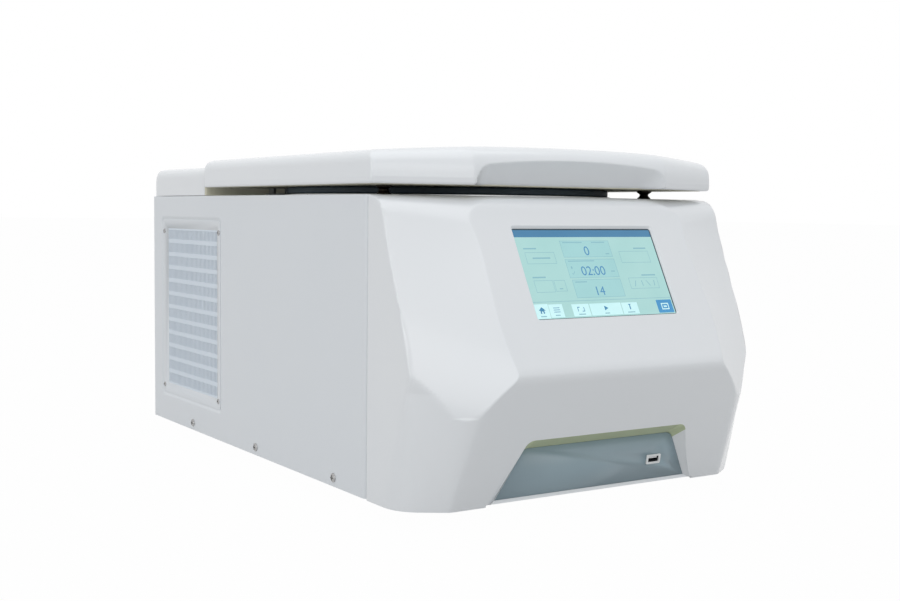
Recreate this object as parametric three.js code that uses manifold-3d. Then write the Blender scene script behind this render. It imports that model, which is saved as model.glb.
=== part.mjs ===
// A refrigerated benchtop centrifuge, built as an assembly of its separate pieces.
// Millimetres, +X to the right, +Y to the back, +Z up. The origin is on the bench, under the middle of the
// machine. Inside the cabinet group, y is 0 at the seam between the front housing and the side panels, and z is 0
// at the lower edge of the sheet metal.
import * as THREE from "three";
import { mergeVertices } from "three/addons/utils/BufferGeometryUtils.js";
import Module from "manifold-3d";

const wasm = await Module();
wasm.setup();

// Values that every piece shares
const gap = 0.3; // between two pieces that seat on each other
const overrun = 6; // how far a cutter passes the face that it opens
const bite = 0.5; // how deep two shapes of one piece run into each other
const weld = 1e-4; // vertices nearer than this are one vertex
const arcSteps = 3; // straight steps in a rounded corner
const roundSides = 32; // sides of a large turned piece
const midSides = 24; // sides of a middle-sized turned piece
const smallSides = 12; // sides of a small turned piece

// The sheet-metal cabinet
const cabinet = { width: 400, height: 274.5, rearBay: 167.5, sheet: 2, flange: 12 };
const pan = { plate: 3, lip: 24, nose: 60, noseWidth: 250, ribHeight: 6, ribWidth: 14, ribs: 2 };
const foot = {
  height: 14, radius: 18, tread: 15, chamfer: 2, recess: 7, recessDepth: 5,
  inset: 55, frontY: 4, rearInset: 55,
};
const deck = { plate: 3, slotWidth: 17, slotFront: 14, slotBack: 9, slotRadius: 6 };

// The air vent in each side panel
const vent = {
  rearInset: 27, length: 185, bottom: 31, topInset: 24.5, radius: 8, recess: 1.5,
  frontMargin: 12, rearMargin: 21, bottomMargin: 15, topMargin: 14,
  grille: 1, rows: 12, columns: 5, bar: 6, mullion: 3,
};

// The moulded front housing
const fascia = {
  wall: 4, drop: 2.5, bottomReach: 78.5, bendReach: 122.8, bendHeight: 119.6, topReach: 40.9,
  bendRadius: 20, topRadius: 25,
  creaseLow: 159.7, creaseHigh: 140.7, creaseRadius: 10, cornerRadius: 40, cornerSlope: 0.64,
  tuckHeight: 40, tuckInset: 12, tuckRadius: 6,
};
// The planed corner of the front housing, given by how far it stands in front of the seam at three heights,
// along the side of the cabinet and along a line nearer to the middle
const facet = {
  innerX: 120, middleHeight: 190, lowHeight: 79, rise: 0.5,
  sideTop: 10.9, sideMiddle: 53.8, sideLow: 83.6,
  innerTop: 39.6, innerMiddle: 89.6, innerLow: 128.1, steps: 12,
};

// The touch screen and what stands behind it
const screen = {
  width: 167, height: 93, headroom: 5.295, radius: 3, depth: 2.5, glass: 2.5,
  rim: 9, pad: 4, windowShare: 0.84,
  housingDepth: 18, housingMargin: 6,
  boardWidth: 120, boardHeight: 70, board: 1.6, chip: 22, chipHeight: 3, chips: 3,
};

// The recess low in the front housing, its panel and the data socket
const niche = {
  topHalf: 93, bottomHalf: 119, top: 60, bottom: 1,
  backTopHalf: 88.4, backBottomHalf: 113, backTop: 50, backBottom: 4.5, backTopReach: 85, backBottomReach: 77,
  radius: 10, wall: 3, panel: 3, seat: 5,
};
const usb = {
  x: 70, height: 24.8, bezelWidth: 17.6, bezelHeight: 9.4, bezelRadius: 1, plate: 1.5,
  bodyWidth: 15, bodyHeight: 7.6, bodyDepth: 14, slotWidth: 12.6, slotHeight: 5.2, slotDepth: 11,
};

// The chamber, its cooling and the drive, all on one upright axis
const insulation = { clearance: 18.7, front: 1, wall: 31, base: 16, neck: 44, channel: 2 };
const bowl = { depth: 142.5, wall: 1.5, rim: 28, floorRadius: 30, hub: 36 };
const gasket = { inset: 15, width: 10.5, wall: 3, lip: 2 };
const coil = { tube: 3.5, turns: 6, stepsPerTurn: 16, sides: 5, rise: 14, headroom: 15.5, tailInset: 79.7 };
const probe = { radius: 2.5, afterTurns: 1.25, collar: 5, collarLength: 3 };
const motor = {
  radius: 58, bottom: 27, headroom: 28, capRadius: 50, capHeight: 5, neck: 27,
  ribs: 8, ribDepth: 3, ribWidth: 6,
};
const mountPlate = { thickness: 6, reach: 88, corner: 16 };
const damper = { count: 3, radius: 13, waist: 10, ring: 74, waistShares: [1 / 3, 2 / 3] };
const seal = { inner: 28, outer: 40, height: 9, lip: 2.5 };
// Heights of the shaft and the rotor are above the bowl's floor, and insets are from the rotor's widest radius
const shaft = { radius: 9, seat: 18, shoulder: 8, coneTop: 46, coneTopRadius: 6, thread: 4, top: 64 };
const rotor = {
  clearance: 30, bottom: 12, taper: 18, rim: 44, shoulder: 26, top: 94, wellRadius: 34, well: 68,
  tubes: 6, tubeRadius: 17, tubeInset: 52, tubeLean: 22, tubeDepth: 68,
};
const rotorLid = {
  rise: 4, inset: 4, lip: 4, knobRadius: 17, knobHeight: 28, waist: 11, waistHeight: 10, stem: 12,
};

// The lid, which swings up about a line near its back edge. Its heights, and those of its hinges and of the fixed
// cover behind it, are above the deck.
const hinge = { height: 30.5, pin: 4, head: 9, openRadius: 15.8 };
const lid = {
  overhang: 4, bottom: 9, wall: 3, crownTop: 46.3, crownDrop: 6.5, crownInset: 14, edgeRadius: 12,
  shoulderY: -12, shoulderRadius: 5, noseHalf: 115, noseY: -43, noseRadius: 4, bow: 4, rearRadius: 3,
  crease: 18.5, lip: 6.5, rim: 1.5, brow: 31.5, browRadius: 15, browSteps: 4, crownSteps: 10,
};
// The finger scoop: a flat arched roof that runs down and back, between two end walls
const scoop = { half: 115.3, top: 33.3, arch: 5.3, slope: 1.25, endSlope: 0.4, radius: 9, steps: 10 };
const liner = { plate: 3, dishInset: 3, dishDepth: 2, notch: 11 };
const cover = { groove: 5.7, top: 32.5, wall: 3, edgeRadius: 12, frontRadius: 5 };

// The lid lock: a striker on the lid, and a housing and catch under the deck, on each side. The waist and the
// flare are given by their height above the deck, and what lies lower by its depth below it.
const lock = {
  inset: 40, y: 41, headRadius: 8, waist: 4.5, waistHeight: 5, flare: 7, flareHeight: 1,
  shank: 5, neck: 3, neckTop: 12.5, neckBottom: 20.5, knob: 6.5, knobBottom: 26.5, tip: 3, tipBottom: 30.5,
  housingWidth: 34, housingFront: 4, housingBack: 55, housingBottom: 34.5,
  catchWidth: 22, catchFront: 7, catchBack: 31.5, catchHeight: 5, notch: 4.6, notchDepth: 16, travel: 12,
};

// The two hinges. Their feet and plates are given from the pin.
const bracket = {
  sideInset: 72, width: 24, ear: 3.5, foot: 3, footFront: 16, footBack: 15, neck: 6,
  notchMargin: 4, notchHeight: 37.5, relief: 2, reliefHeight: 17,
};
const arm = { thickness: 4, foot: 2.5, footFront: 60, footBack: 18, footWidth: 15, heel: 10 };
const pinHead = { radius: 5.5, length: 1.8 };
const spring = { wire: 0.8, radius: 6.4, turns: 4, stepsPerTurn: 8, sides: 4 };

// The cooling circuit behind the chamber
const condenser = {
  inset: 10, thickness: 28, finPitch: 12, finGap: 4, finDepth: 6, tube: 4, bends: 3, bendSteps: 4,
};
const shroud = { plate: 2, ring: 71, ringWall: 2, depth: 24, armWidth: 8, arms: 3, hubWall: 2.5 };
const fan = {
  radius: 68, hub: 22, hubLength: 18, blades: 5, chord: 34, blade: 2, pitch: 32, inset: 3, bore: 3,
};
const fanMotor = { radius: 25, length: 34, shaft: 2.7, shaftLength: 16 };
const compressor = {
  sideInset: 30.7, rearInset: 31, radius: 62, base: 12, bodyTop: 120, crown: 156, seam: 84, seamWidth: 4,
  seamProud: 3, plateWidth: 150, plateDepth: 120, plate: 3, grommet: 9, grommetInset: 11,
  box: 40, boxDepth: 16, boxHeight: 44,
};
const pipe = { radius: 4, sides: 6, steps: 22 };
const drier = { radius: 9, length: 46, cone: 8, inset: 50, front: 8.7, drop: 4, bend: 10 };

// Electrics
const inverter = {
  sideInset: 9.7, clearance: 9.45, y: 170, depth: 150, height: 40,
  fins: 6, finHeight: 14, fin: 3, stand: 6, post: 8,
};
const inlet = {
  x: 120, height: 62, width: 48, tall: 28, plate: 2.5, radius: 3, bodyWidth: 31, bodyTall: 24,
  bodyDepth: 26, wellWidth: 27, wellTall: 19.6, wellDepth: 18, wellCorner: 4,
  pinWidth: 2, pinTall: 6, pinLength: 12, pinPitch: 7, pinOffset: 3,
};
const mains = {
  x: 60, height: 62, width: 22, tall: 32, plate: 2.5, radius: 3, bodyDepth: 24,
  rockerWidth: 12, rockerTall: 9.5, crest: 5, shoulder: 3, root: 6, rootHalf: 7, tilt: 10, pivotDepth: 1,
};
const rearVent = { slots: 8, pitch: 15, height: 5, width: 110, x: -90, bottom: 70 };

const degree = Math.PI / 180;
const halfWidth = cabinet.width / 2;
const innerHalf = halfWidth - cabinet.sheet - gap; // the half width of what stands between the side panels
const deckUnder = cabinet.height - deck.plate;
const overDeck = (height) => cabinet.height + height;
const underDeck = (drop) => cabinet.height - drop;

// The chamber takes up the width between the side panels, and hangs from the deck. The hinges stand behind its
// rim, the fixed cover behind the hinges, and the cabinet ends a bay's depth behind the cover's front.
const foamRadius = innerHalf - insulation.clearance;
const bowlRadius = foamRadius - insulation.wall;
const chamberY = insulation.front + foamRadius;
const hingeY = chamberY + bowlRadius + bowl.rim;
const coverFront = hingeY + hinge.openRadius + cover.groove;
const cabinetDepth = coverFront + cabinet.rearBay;
const rearInner = cabinetDepth - cabinet.sheet;
const bowlFloor = underDeck(bowl.depth);
const aboveFloor = (height) => bowlFloor + height;
const motorTop = bowlFloor - motor.headroom;
const shaftBottom = motor.bottom + shaft.seat;
const rotorRadius = bowlRadius - rotor.clearance;
const rotorTopRadius = rotorRadius - rotor.shoulder;

// The vent's pressed tray and the opening in it, from the cabinet's rear and top edges
const tray = {
  front: cabinetDepth - vent.rearInset - vent.length, rear: cabinetDepth - vent.rearInset,
  bottom: vent.bottom, top: cabinet.height - vent.topInset,
};
const opening = {
  front: tray.front + vent.frontMargin, rear: tray.rear - vent.rearMargin,
  bottom: tray.bottom + vent.bottomMargin, top: tray.top - vent.topMargin,
};

// Heights over the deck
const pinZ = overDeck(hinge.height);
const lidBottom = overDeck(lid.bottom);
const lidCrease = overDeck(lid.crease);
const lidBrow = overDeck(lid.brow);
const lidTop = overDeck(lid.crownTop);

// What keeps its place from the sides of the cabinet
const lidHalf = halfWidth + lid.overhang;
const lockX = halfWidth - lock.inset;
const drierX = drier.inset - innerHalf;
const bracketOuter = halfWidth - bracket.sideInset;
const bracketInner = bracketOuter - bracket.width;
const compressorX = innerHalf - compressor.sideInset - compressor.plateWidth / 2;
const compressorY = rearInner - compressor.rearInset - compressor.plateDepth / 2;

// Finishes
const finish = (color, roughness, metalness) => {
  return new THREE.MeshStandardMaterial({ color, roughness, metalness });
};
const paint = finish("#e9ebee", 0.45, 0);
const panelGrey = finish("#9aa5ab", 0.5, 0);
const glass = finish("#9fd8d4", 0.15, 0);
const darkPlastic = finish("#2a2d31", 0.55, 0);
const whitePlastic = finish("#eef0f1", 0.4, 0);
const rubber = finish("#202328", 0.85, 0);
const stainless = finish("#b9bdc0", 0.3, 1);
const zinc = finish("#a9adb0", 0.42, 1);
const aluminium = finish("#c3c6c9", 0.38, 1);
const copper = finish("#b87348", 0.35, 1);
const foam = finish("#d8c79a", 0.9, 0);
const enamelBlack = finish("#1d1f22", 0.35, 0);
const boardGreen = finish("#1f6b46", 0.5, 0);

// Solids from closed geometries, for joining and cutting
function toSolid(geometry) {
  const bare = new THREE.BufferGeometry();
  const flat = geometry.index ? geometry.toNonIndexed() : geometry;
  bare.setAttribute("position", flat.getAttribute("position").clone());
  const merged = mergeVertices(bare, weld);
  const vertProperties = new Float32Array(merged.attributes.position.array);
  const faces = [];
  for (let i = 0; i < merged.index.count; i += 3) {
    const [a, b, c] = [0, 1, 2].map((k) => merged.index.getX(i + k));
    if (a !== b && b !== c && c !== a) faces.push(a, b, c);
  }
  const close = (corners) => {
    const mesh = new wasm.Mesh({ numProp: 3, vertProperties, triVerts: new Uint32Array(corners) });
    return new wasm.Manifold(mesh);
  };
  const made = close(faces);
  return made.volume() > 0 ? made : close(faces.reverse());
}

function toGeometry(solid) {
  const mesh = solid.getMesh();
  const geometry = new THREE.BufferGeometry();
  const positions = new Float32Array(mesh.numVert * 3);
  for (let i = 0; i < mesh.numVert; i++) {
    positions.set(mesh.vertProperties.subarray(i * mesh.numProp, i * mesh.numProp + 3), i * 3);
  }
  geometry.setAttribute("position", new THREE.BufferAttribute(positions, 3));
  geometry.setIndex(new THREE.BufferAttribute(mesh.triVerts, 1));
  return geometry;
}

function combined(operation, first, others) {
  return toGeometry(others.reduce((solid, other) => solid[operation](toSolid(other)), toSolid(first)));
}

const join = (first, ...others) => combined("add", first, others);
const cut = (first, ...others) => combined("subtract", first, others);
const meet = (first, ...others) => combined("intersect", first, others);

// A block between its lowest and its highest corner.
function block([x0, y0, z0], [x1, y1, z1]) {
  const geometry = new THREE.BoxGeometry(x1 - x0, y1 - y0, z1 - z0);
  return geometry.translate((x0 + x1) / 2, (y0 + y1) / 2, (z0 + z1) / 2);
}

// The closed outline through corners given as [across, up, radius], rounded where a corner has a radius.
function outline(corners, steps = arcSteps) {
  const points = [];
  corners.forEach(([across, up, radius = 0], i) => {
    const here = new THREE.Vector2(across, up);
    if (radius <= 0) return points.push(here);
    const back = new THREE.Vector2(...corners.at(i - 1).slice(0, 2)).sub(here);
    const on = new THREE.Vector2(...corners[(i + 1) % corners.length].slice(0, 2)).sub(here);
    const room = Math.min(back.length(), on.length()) / 2;
    back.normalize();
    on.normalize();
    const half = Math.acos(THREE.MathUtils.clamp(back.dot(on), -1, 1)) / 2;
    const r = Math.min(radius, room * Math.tan(half));
    const centre = back.clone().add(on).normalize().multiplyScalar(r / Math.sin(half)).add(here);
    const start = back.clone().multiplyScalar(r / Math.tan(half)).add(here).sub(centre);
    const end = on.clone().multiplyScalar(r / Math.tan(half)).add(here).sub(centre);
    const turn = Math.atan2(start.cross(end), start.dot(end));
    for (let k = 0; k <= steps; k++) {
      points.push(start.clone().rotateAround(new THREE.Vector2(), (turn * k) / steps).add(centre));
    }
  });
  return points;
}

const rectangle = (x0, y0, x1, y1, r = 0) => outline([[x0, y0, r], [x1, y0, r], [x1, y1, r], [x0, y1, r]]);

// Where an outline's two directions and its depth lie, for a prism along each axis
const across = {
  x: new THREE.Matrix4().set(0, 0, 1, 0, 1, 0, 0, 0, 0, 1, 0, 0, 0, 0, 0, 1),
  y: new THREE.Matrix4().set(1, 0, 0, 0, 0, 0, -1, 0, 0, 1, 0, 0, 0, 0, 0, 1),
  z: new THREE.Matrix4(),
};

// An outline pushed along an axis from one place to another. Along X the outline is in (y, z), along Y in
// (x, z).
function prism(axis, points, from, to, holes = []) {
  const settings = { depth: to - from, bevelEnabled: false };
  const geometry = new THREE.ExtrudeGeometry(new THREE.Shape(points), settings);
  geometry.applyMatrix4(across[axis]);
  const start = { x: [from, 0, 0], y: [0, to, 0], z: [0, 0, from] }[axis];
  geometry.translate(...start);
  return cut(geometry, ...holes.map((hole) => prism(axis, hole, from - overrun, to + overrun)));
}

// A round bar along an axis, centred on [a, b] across it.
function rod(axis, radius, from, to, [a, b] = [0, 0], sides = smallSides, farRadius = radius) {
  const geometry = new THREE.CylinderGeometry(farRadius, radius, to - from, sides);
  const middle = (from + to) / 2;
  if (axis === "x") return geometry.rotateZ(-Math.PI / 2).translate(middle, a, b);
  if (axis === "y") return geometry.translate(a, middle, b);
  return geometry.rotateX(Math.PI / 2).translate(a, b, middle);
}

// A profile of [radius, height] turned about the Z axis. One that stays off the axis closes on itself.
function turned(profile, sides = roundSides) {
  const points = profile.map(([r, z]) => new THREE.Vector2(r, z));
  if (profile[0][0] > 0) points.push(points[0].clone());
  return new THREE.LatheGeometry(points, sides).rotateX(Math.PI / 2);
}

// A solid through convex outlines of equal count, each a list of Vector3.
function loft(sections) {
  const count = sections[0].length;
  const positions = sections.flat().flatMap((p) => [p.x, p.y, p.z]);
  const faces = [];
  for (let s = 0; s + 1 < sections.length; s++) {
    for (let i = 0; i < count; i++) {
      const [a, b] = [s * count + i, s * count + ((i + 1) % count)];
      faces.push(a, b, b + count, a, b + count, a + count);
    }
  }
  const last = (sections.length - 1) * count;
  for (let i = 1; i + 1 < count; i++) faces.push(0, i + 1, i, last, last + i, last + i + 1);
  const geometry = new THREE.BufferGeometry();
  geometry.setAttribute("position", new THREE.Float32BufferAttribute(positions, 3));
  geometry.setIndex(faces);
  return geometry;
}

// A round tube along a curve, with flat ends.
function tube(curve, radius, sides, steps) {
  const ring = Array.from({ length: sides }, (_, i) => {
    const angle = (i / sides) * 2 * Math.PI;
    return new THREE.Vector2(radius * Math.cos(angle), radius * Math.sin(angle));
  });
  return new THREE.ExtrudeGeometry(new THREE.Shape(ring), { extrudePath: curve, steps, bevelEnabled: false });
}

const moved = (geometry, x, y, z) => geometry.translate(x, y, z);
const mirrored = (points) => points.map(([x, ...rest]) => [-x, ...rest]).reverse();
const lerp = THREE.MathUtils.lerp;

const machine = new THREE.Group();
const body = new THREE.Group();
machine.add(body);

function piece(parent, name, geometry, material) {
  const mesh = new THREE.Mesh(toGeometry(toSolid(geometry)), material);
  mesh.name = name;
  parent.add(mesh);
  return mesh;
}

const sides = [["left", -1], ["right", 1]];

// The base pan: a plate with upturned sides, a tongue that reaches under the front housing, and pressed ribs.
function basePan() {
  const rear = rearInner - cabinet.sheet - 2 * gap;
  const side = (s) => {
    const [x0, x1] = [s * innerHalf, s * (innerHalf - cabinet.sheet)].sort((a, b) => a - b);
    return block([x0, gap, 0], [x1, rear, pan.lip]);
  };
  const ribs = Array.from({ length: pan.ribs }, (_, i) => {
    const y = chamberY + (i ? 1 : -1) * (mountPlate.reach + pan.ribWidth);
    return block([-pan.noseWidth / 2, y, 0], [pan.noseWidth / 2, y + pan.ribWidth, pan.ribHeight]);
  });
  return join(
    block([-innerHalf, gap, 0], [innerHalf, rear, pan.plate]),
    block([-pan.noseWidth / 2, -pan.nose, 0], [pan.noseWidth / 2, gap + bite, pan.plate]),
    side(-1),
    side(1),
    ...ribs,
  );
}

// A rubber foot with a recess for its screw.
function rubberFoot() {
  const top = -gap;
  const bottom = -foot.height;
  return turned([
    [0, bottom + foot.recessDepth],
    [foot.recess, bottom + foot.recessDepth],
    [foot.recess, bottom],
    [foot.tread - foot.chamfer, bottom],
    [foot.tread, bottom + foot.chamfer],
    [foot.radius, top - foot.chamfer],
    [foot.radius, top],
    [0, top],
  ], smallSides);
}

// A side panel: a sheet with folded top and rear flanges, and a pressed tray with the air opening.
function sidePanel(s) {
  const slab = (depth0, depth1) => [s * (halfWidth - depth1), s * (halfWidth - depth0)].sort((a, b) => a - b);
  const [out0, out1] = slab(0, cabinet.sheet);
  const [deep0, deep1] = slab(vent.recess, vent.recess + cabinet.sheet);
  const [fold0, fold1] = slab(cabinet.sheet - bite, cabinet.flange);
  const trayLine = rectangle(tray.front, tray.bottom, tray.rear, tray.top, vent.radius);
  const rim = cabinet.sheet;
  const wider = rectangle(
    tray.front - rim, tray.bottom - rim, tray.rear + rim, tray.top + rim, vent.radius + rim,
  );
  const openingLine = rectangle(opening.front, opening.bottom, opening.rear, opening.top);
  const sheet = block([out0, 0, 0], [out1, cabinetDepth, cabinet.height]);
  const foldTop = deckUnder - gap;
  const topFold = block([fold0, 0, foldTop - cabinet.sheet], [fold1, rearInner - gap, foldTop]);
  const rearFold = block([fold0, rearInner - gap - cabinet.sheet, 0], [fold1, rearInner - gap, foldTop]);
  const framed = cut(sheet, prism("x", trayLine, out0 - overrun, out1 + overrun));
  return cut(
    join(framed, prism("x", wider, deep0, deep1), topFold, rearFold),
    prism("x", openingLine, deep0 - overrun, deep1 + overrun),
  );
}

// The perforated plate in a side panel's tray: rows of slots between plain bars.
function ventGrille(s) {
  const outer = halfWidth - vent.recess + gap + vent.grille;
  const [x0, x1] = [s * outer, s * (outer - vent.grille)].sort((a, b) => a - b);
  const plate = rectangle(
    tray.front + gap, tray.bottom + gap, tray.rear - gap, tray.top - gap, vent.radius - gap,
  );
  const rowPitch = (opening.top - opening.bottom) / vent.rows;
  const columnPitch = (opening.rear - opening.front) / vent.columns;
  const holes = [];
  for (let row = 0; row < vent.rows; row++) {
    for (let column = 0; column < vent.columns; column++) {
      const y = opening.front + column * columnPitch + vent.mullion / 2;
      const z = opening.bottom + row * rowPitch + vent.bar / 2;
      holes.push(rectangle(y, z, y + columnPitch - vent.mullion, z + rowPitch - vent.bar));
    }
  }
  return prism("x", plate, x0, x1, holes);
}

// The front housing's two long faces as seen from the side, moved inwards by an inset.
function frontLines(inset) {
  const lowLean = (fascia.bendReach - fascia.bottomReach) / fascia.bendHeight;
  const highLean = (fascia.bendReach - fascia.topReach) / (cabinet.height - fascia.bendHeight);
  const low = (z) => -fascia.bottomReach - lowLean * z + inset * Math.hypot(1, lowLean);
  const high = (z) => highLean * (z - fascia.bendHeight) - fascia.bendReach + inset * Math.hypot(1, highLean);
  const bendZ = (high(0) - low(0)) / (-lowLean - highLean);
  return { low, high, bendZ, highLean, lowLean };
}

// How far in front of the seam the planed corner stands, at a place across and a height.
function facetReach(x, z) {
  const along = (top, middle, low) => {
    const [z0, z1, z2] = [cabinet.height, facet.middleHeight, facet.lowHeight];
    return (top * (z - z1) * (z - z2)) / ((z0 - z1) * (z0 - z2))
      + (middle * (z - z0) * (z - z2)) / ((z1 - z0) * (z1 - z2))
      + (low * (z - z0) * (z - z1)) / ((z2 - z0) * (z2 - z1));
  };
  const side = along(facet.sideTop, facet.sideMiddle, facet.sideLow);
  const inner = along(facet.innerTop, facet.innerMiddle, facet.innerLow);
  return lerp(inner, side, (x - facet.innerX) / (halfWidth - facet.innerX));
}

// What is taken off one corner of the front housing.
function facetCutter(s, inset) {
  const low = facet.lowHeight - 3 * overrun;
  const inner = facet.innerX / 2;
  const outer = halfWidth + overrun;
  const far = -fascia.bendReach - 10 * overrun;
  const turn = (facet.innerLow - facet.sideLow) / (halfWidth - facet.innerX);
  const thickening = inset * Math.hypot(1, turn, facet.rise);
  const sections = [];
  for (let i = 0; i <= facet.steps; i++) {
    const z = lerp(low, cabinet.height + overrun, i / facet.steps);
    const corners = [[inner, thickening - facetReach(inner, z)], [outer, thickening - facetReach(outer, z)],
      [outer, far], [inner, far]];
    sections.push(corners.map(([x, y]) => new THREE.Vector3(s * x, y, z)));
  }
  return loft(sections);
}

// The front housing's full form: plan outlines from the bottom up, then the planed corners taken off.
function fasciaForm(inset, back, bottom) {
  const { low, high, bendZ } = frontLines(inset);
  const top = cabinet.height - inset;
  const profile = outline([
    [low(bottom), bottom],
    [low(bendZ), bendZ, fascia.bendRadius - inset],
    [high(top), top, fascia.topRadius - inset],
    [back, top],
    [back, bottom],
  ], 2 * arcSteps).slice(0, -2);
  const sections = profile.map(({ x: front, y: z }) => {
    const tuck = THREE.MathUtils.clamp((z - fascia.bendHeight) / fascia.tuckHeight, 0, 1);
    const crease = lerp(fascia.creaseLow, fascia.creaseHigh, z / fascia.bendHeight);
    const creaseX = lerp(crease, halfWidth - fascia.tuckInset, tuck) - inset;
    const side = halfWidth - inset;
    const shoulder = front + fascia.cornerSlope * (side - creaseX);
    const radius = lerp(fascia.cornerRadius, fascia.tuckRadius, tuck) - inset;
    const right = [[side, back], [side, shoulder, radius], [creaseX, front, fascia.creaseRadius - inset]];
    return outline([...right, ...mirrored(right)]).map((p) => new THREE.Vector3(p.x, p.y, z));
  });
  return cut(loft(sections), facetCutter(-1, inset), facetCutter(1, inset));
}

// The frame of the slanted screen: x to the right, z up the slope and y into the machine.
// The display housing's upper back corner keeps its headroom under the front housing's ceiling.
const slope = frontLines(0);
const screenTilt = -Math.atan(slope.highLean);
const housingBack = fascia.wall + screen.pad + gap + screen.housingDepth;
const housingRise = (screen.height / 2 + screen.housingMargin) * Math.cos(screenTilt)
  - housingBack * Math.sin(screenTilt);
const screenZ = cabinet.height - fascia.wall - screen.headroom - housingRise;
const screenY = slope.high(screenZ);
const onSlope = (geometry) => geometry.rotateX(screenTilt).translate(0, screenY, screenZ);

// A cross-section of the low recess: share 1 is its mouth on the lower face, 0 is the panel at its back.
function nicheSection(share, margin = 0) {
  const top = lerp(niche.backTop, niche.top, share) + margin;
  const bottom = lerp(niche.backBottom, niche.bottom, share) - margin;
  const topHalf = lerp(niche.backTopHalf, niche.topHalf, share) + margin;
  const bottomHalf = lerp(niche.backBottomHalf, niche.bottomHalf, share) + margin;
  const topY = -lerp(niche.backTopReach, -slope.low(niche.top), share);
  const bottomY = -lerp(niche.backBottomReach, -slope.low(niche.bottom), share);
  const right = [[bottomHalf, bottom], [topHalf, top, niche.radius]];
  return outline([...right, ...mirrored(right)]).map(({ x, y: z }) => {
    return new THREE.Vector3(x, lerp(bottomY, topY, (z - bottom) / (top - bottom)), z);
  });
}

const backwards = (section, distance) => section.map((p) => new THREE.Vector3(p.x, p.y + distance, p.z));

// The display housing's outline on the slope.
function housingLine(margin) {
  const [w, h] = [screen.width / 2 + screen.housingMargin, screen.height / 2 + screen.housingMargin];
  return rectangle(-w - margin, -h - margin, w + margin, h + margin, screen.rim + margin);
}

// The front housing: a shell with a thick pad and a window behind the screen's pocket, room for the display
// housing, and a collar round the low recess.
function frontFascia() {
  const outer = fasciaForm(0, -gap, -fascia.drop);
  const inner = fasciaForm(fascia.wall, overrun, -fascia.drop - overrun);
  const pad = onSlope(block(
    [-screen.width / 2 - screen.rim, fascia.wall - bite, -screen.height / 2 - screen.rim],
    [screen.width / 2 + screen.rim, fascia.wall + screen.pad, screen.height / 2 + screen.rim],
  ));
  const pocket = onSlope(prism(
    "y",
    rectangle(-screen.width / 2, -screen.height / 2, screen.width / 2, screen.height / 2, screen.radius),
    -overrun,
    screen.depth + screen.glass + gap,
  ));
  const halfWindow = [(screen.width / 2) * screen.windowShare, (screen.height / 2) * screen.windowShare];
  const window = onSlope(block(
    [-halfWindow[0], 0, -halfWindow[1]],
    [halfWindow[0], fascia.wall + screen.pad + overrun, halfWindow[1]],
  ));
  const seat = fascia.wall + screen.pad;
  const housingRoom = onSlope(prism("y", housingLine(gap), seat, housingBack + overrun));
  const collarLength = niche.panel + niche.seat;
  const beyond = 1 + overrun / niche.radius;
  const funnel = (length, margin) => loft([
    backwards(nicheSection(0, margin), length),
    nicheSection(0, margin),
    nicheSection(beyond, margin),
  ]);
  const collar = meet(outer, funnel(collarLength, niche.wall));
  const mouth = funnel(collarLength + overrun, 0);
  return cut(join(cut(outer, inner), meet(outer, pad), collar), pocket, window, housingRoom, mouth);
}

function touchScreen() {
  const [w, h] = [screen.width / 2 - gap, screen.height / 2 - gap];
  return prism("y", rectangle(-w, -h, w, h, screen.radius - gap), screen.depth, screen.depth + screen.glass);
}

// The closed box behind the screen, with the screen's raised back reaching into the window.
function displayHousing() {
  const seat = fascia.wall + screen.pad + gap;
  const inner = (screen.width / 2) * screen.windowShare - gap;
  const innerH = (screen.height / 2) * screen.windowShare - gap;
  const front = screen.depth + screen.glass + 2 * gap;
  return join(
    prism("y", housingLine(0), seat, seat + screen.housingDepth),
    block([-inner, front, -innerH], [inner, seat + bite, innerH]),
  );
}

// The control board, with its larger chips, on the back of the display housing.
function controlBoard() {
  const front = housingBack + gap;
  const [w, h] = [screen.boardWidth / 2, screen.boardHeight / 2];
  const chips = Array.from({ length: screen.chips }, (_, i) => {
    const x = (i - (screen.chips - 1) / 2) * (screen.chip + screen.rim) - screen.chip / 2;
    return block(
      [x, front + screen.board - bite, -screen.chip / 2],
      [x + screen.chip, front + screen.board + screen.chipHeight, screen.chip / 2],
    );
  });
  return join(block([-w, front, -h], [w, front + screen.board, h]), ...chips);
}

function lowerFrontPanel() {
  const face = nicheSection(0, -gap);
  const plate = loft([face, backwards(face, niche.panel)]);
  const hole = [usb.bodyWidth / 2 + gap, usb.bodyHeight / 2 + gap];
  return cut(plate, block(
    [usb.x - hole[0], -niche.backTopReach - overrun, usb.height - hole[1]],
    [usb.x + hole[0], -niche.backBottomReach + overrun, usb.height + hole[1]],
  ));
}

// The data socket: a bezel on the panel, a body through it and the slot.
const panelLean = (niche.backTopReach - niche.backBottomReach) / (niche.backTop - niche.backBottom);
const usbFaceY = -niche.backBottomReach - panelLean * (usb.height - niche.backBottom);

function usbPort() {
  const [w, h] = [usb.bezelWidth / 2, usb.bezelHeight / 2];
  const bezel = prism("y", rectangle(-w, -h, w, h, usb.bezelRadius), -gap - usb.plate, -gap);
  bezel.rotateX(Math.atan(panelLean));
  const barrel = block(
    [-usb.bodyWidth / 2, -gap - usb.plate / 2, -usb.bodyHeight / 2],
    [usb.bodyWidth / 2, usb.bodyDepth, usb.bodyHeight / 2],
  );
  const slot = block(
    [-usb.slotWidth / 2, -overrun, -usb.slotHeight / 2],
    [usb.slotWidth / 2, usb.slotDepth, usb.slotHeight / 2],
  );
  return cut(join(bezel, barrel), slot);
}

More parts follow.
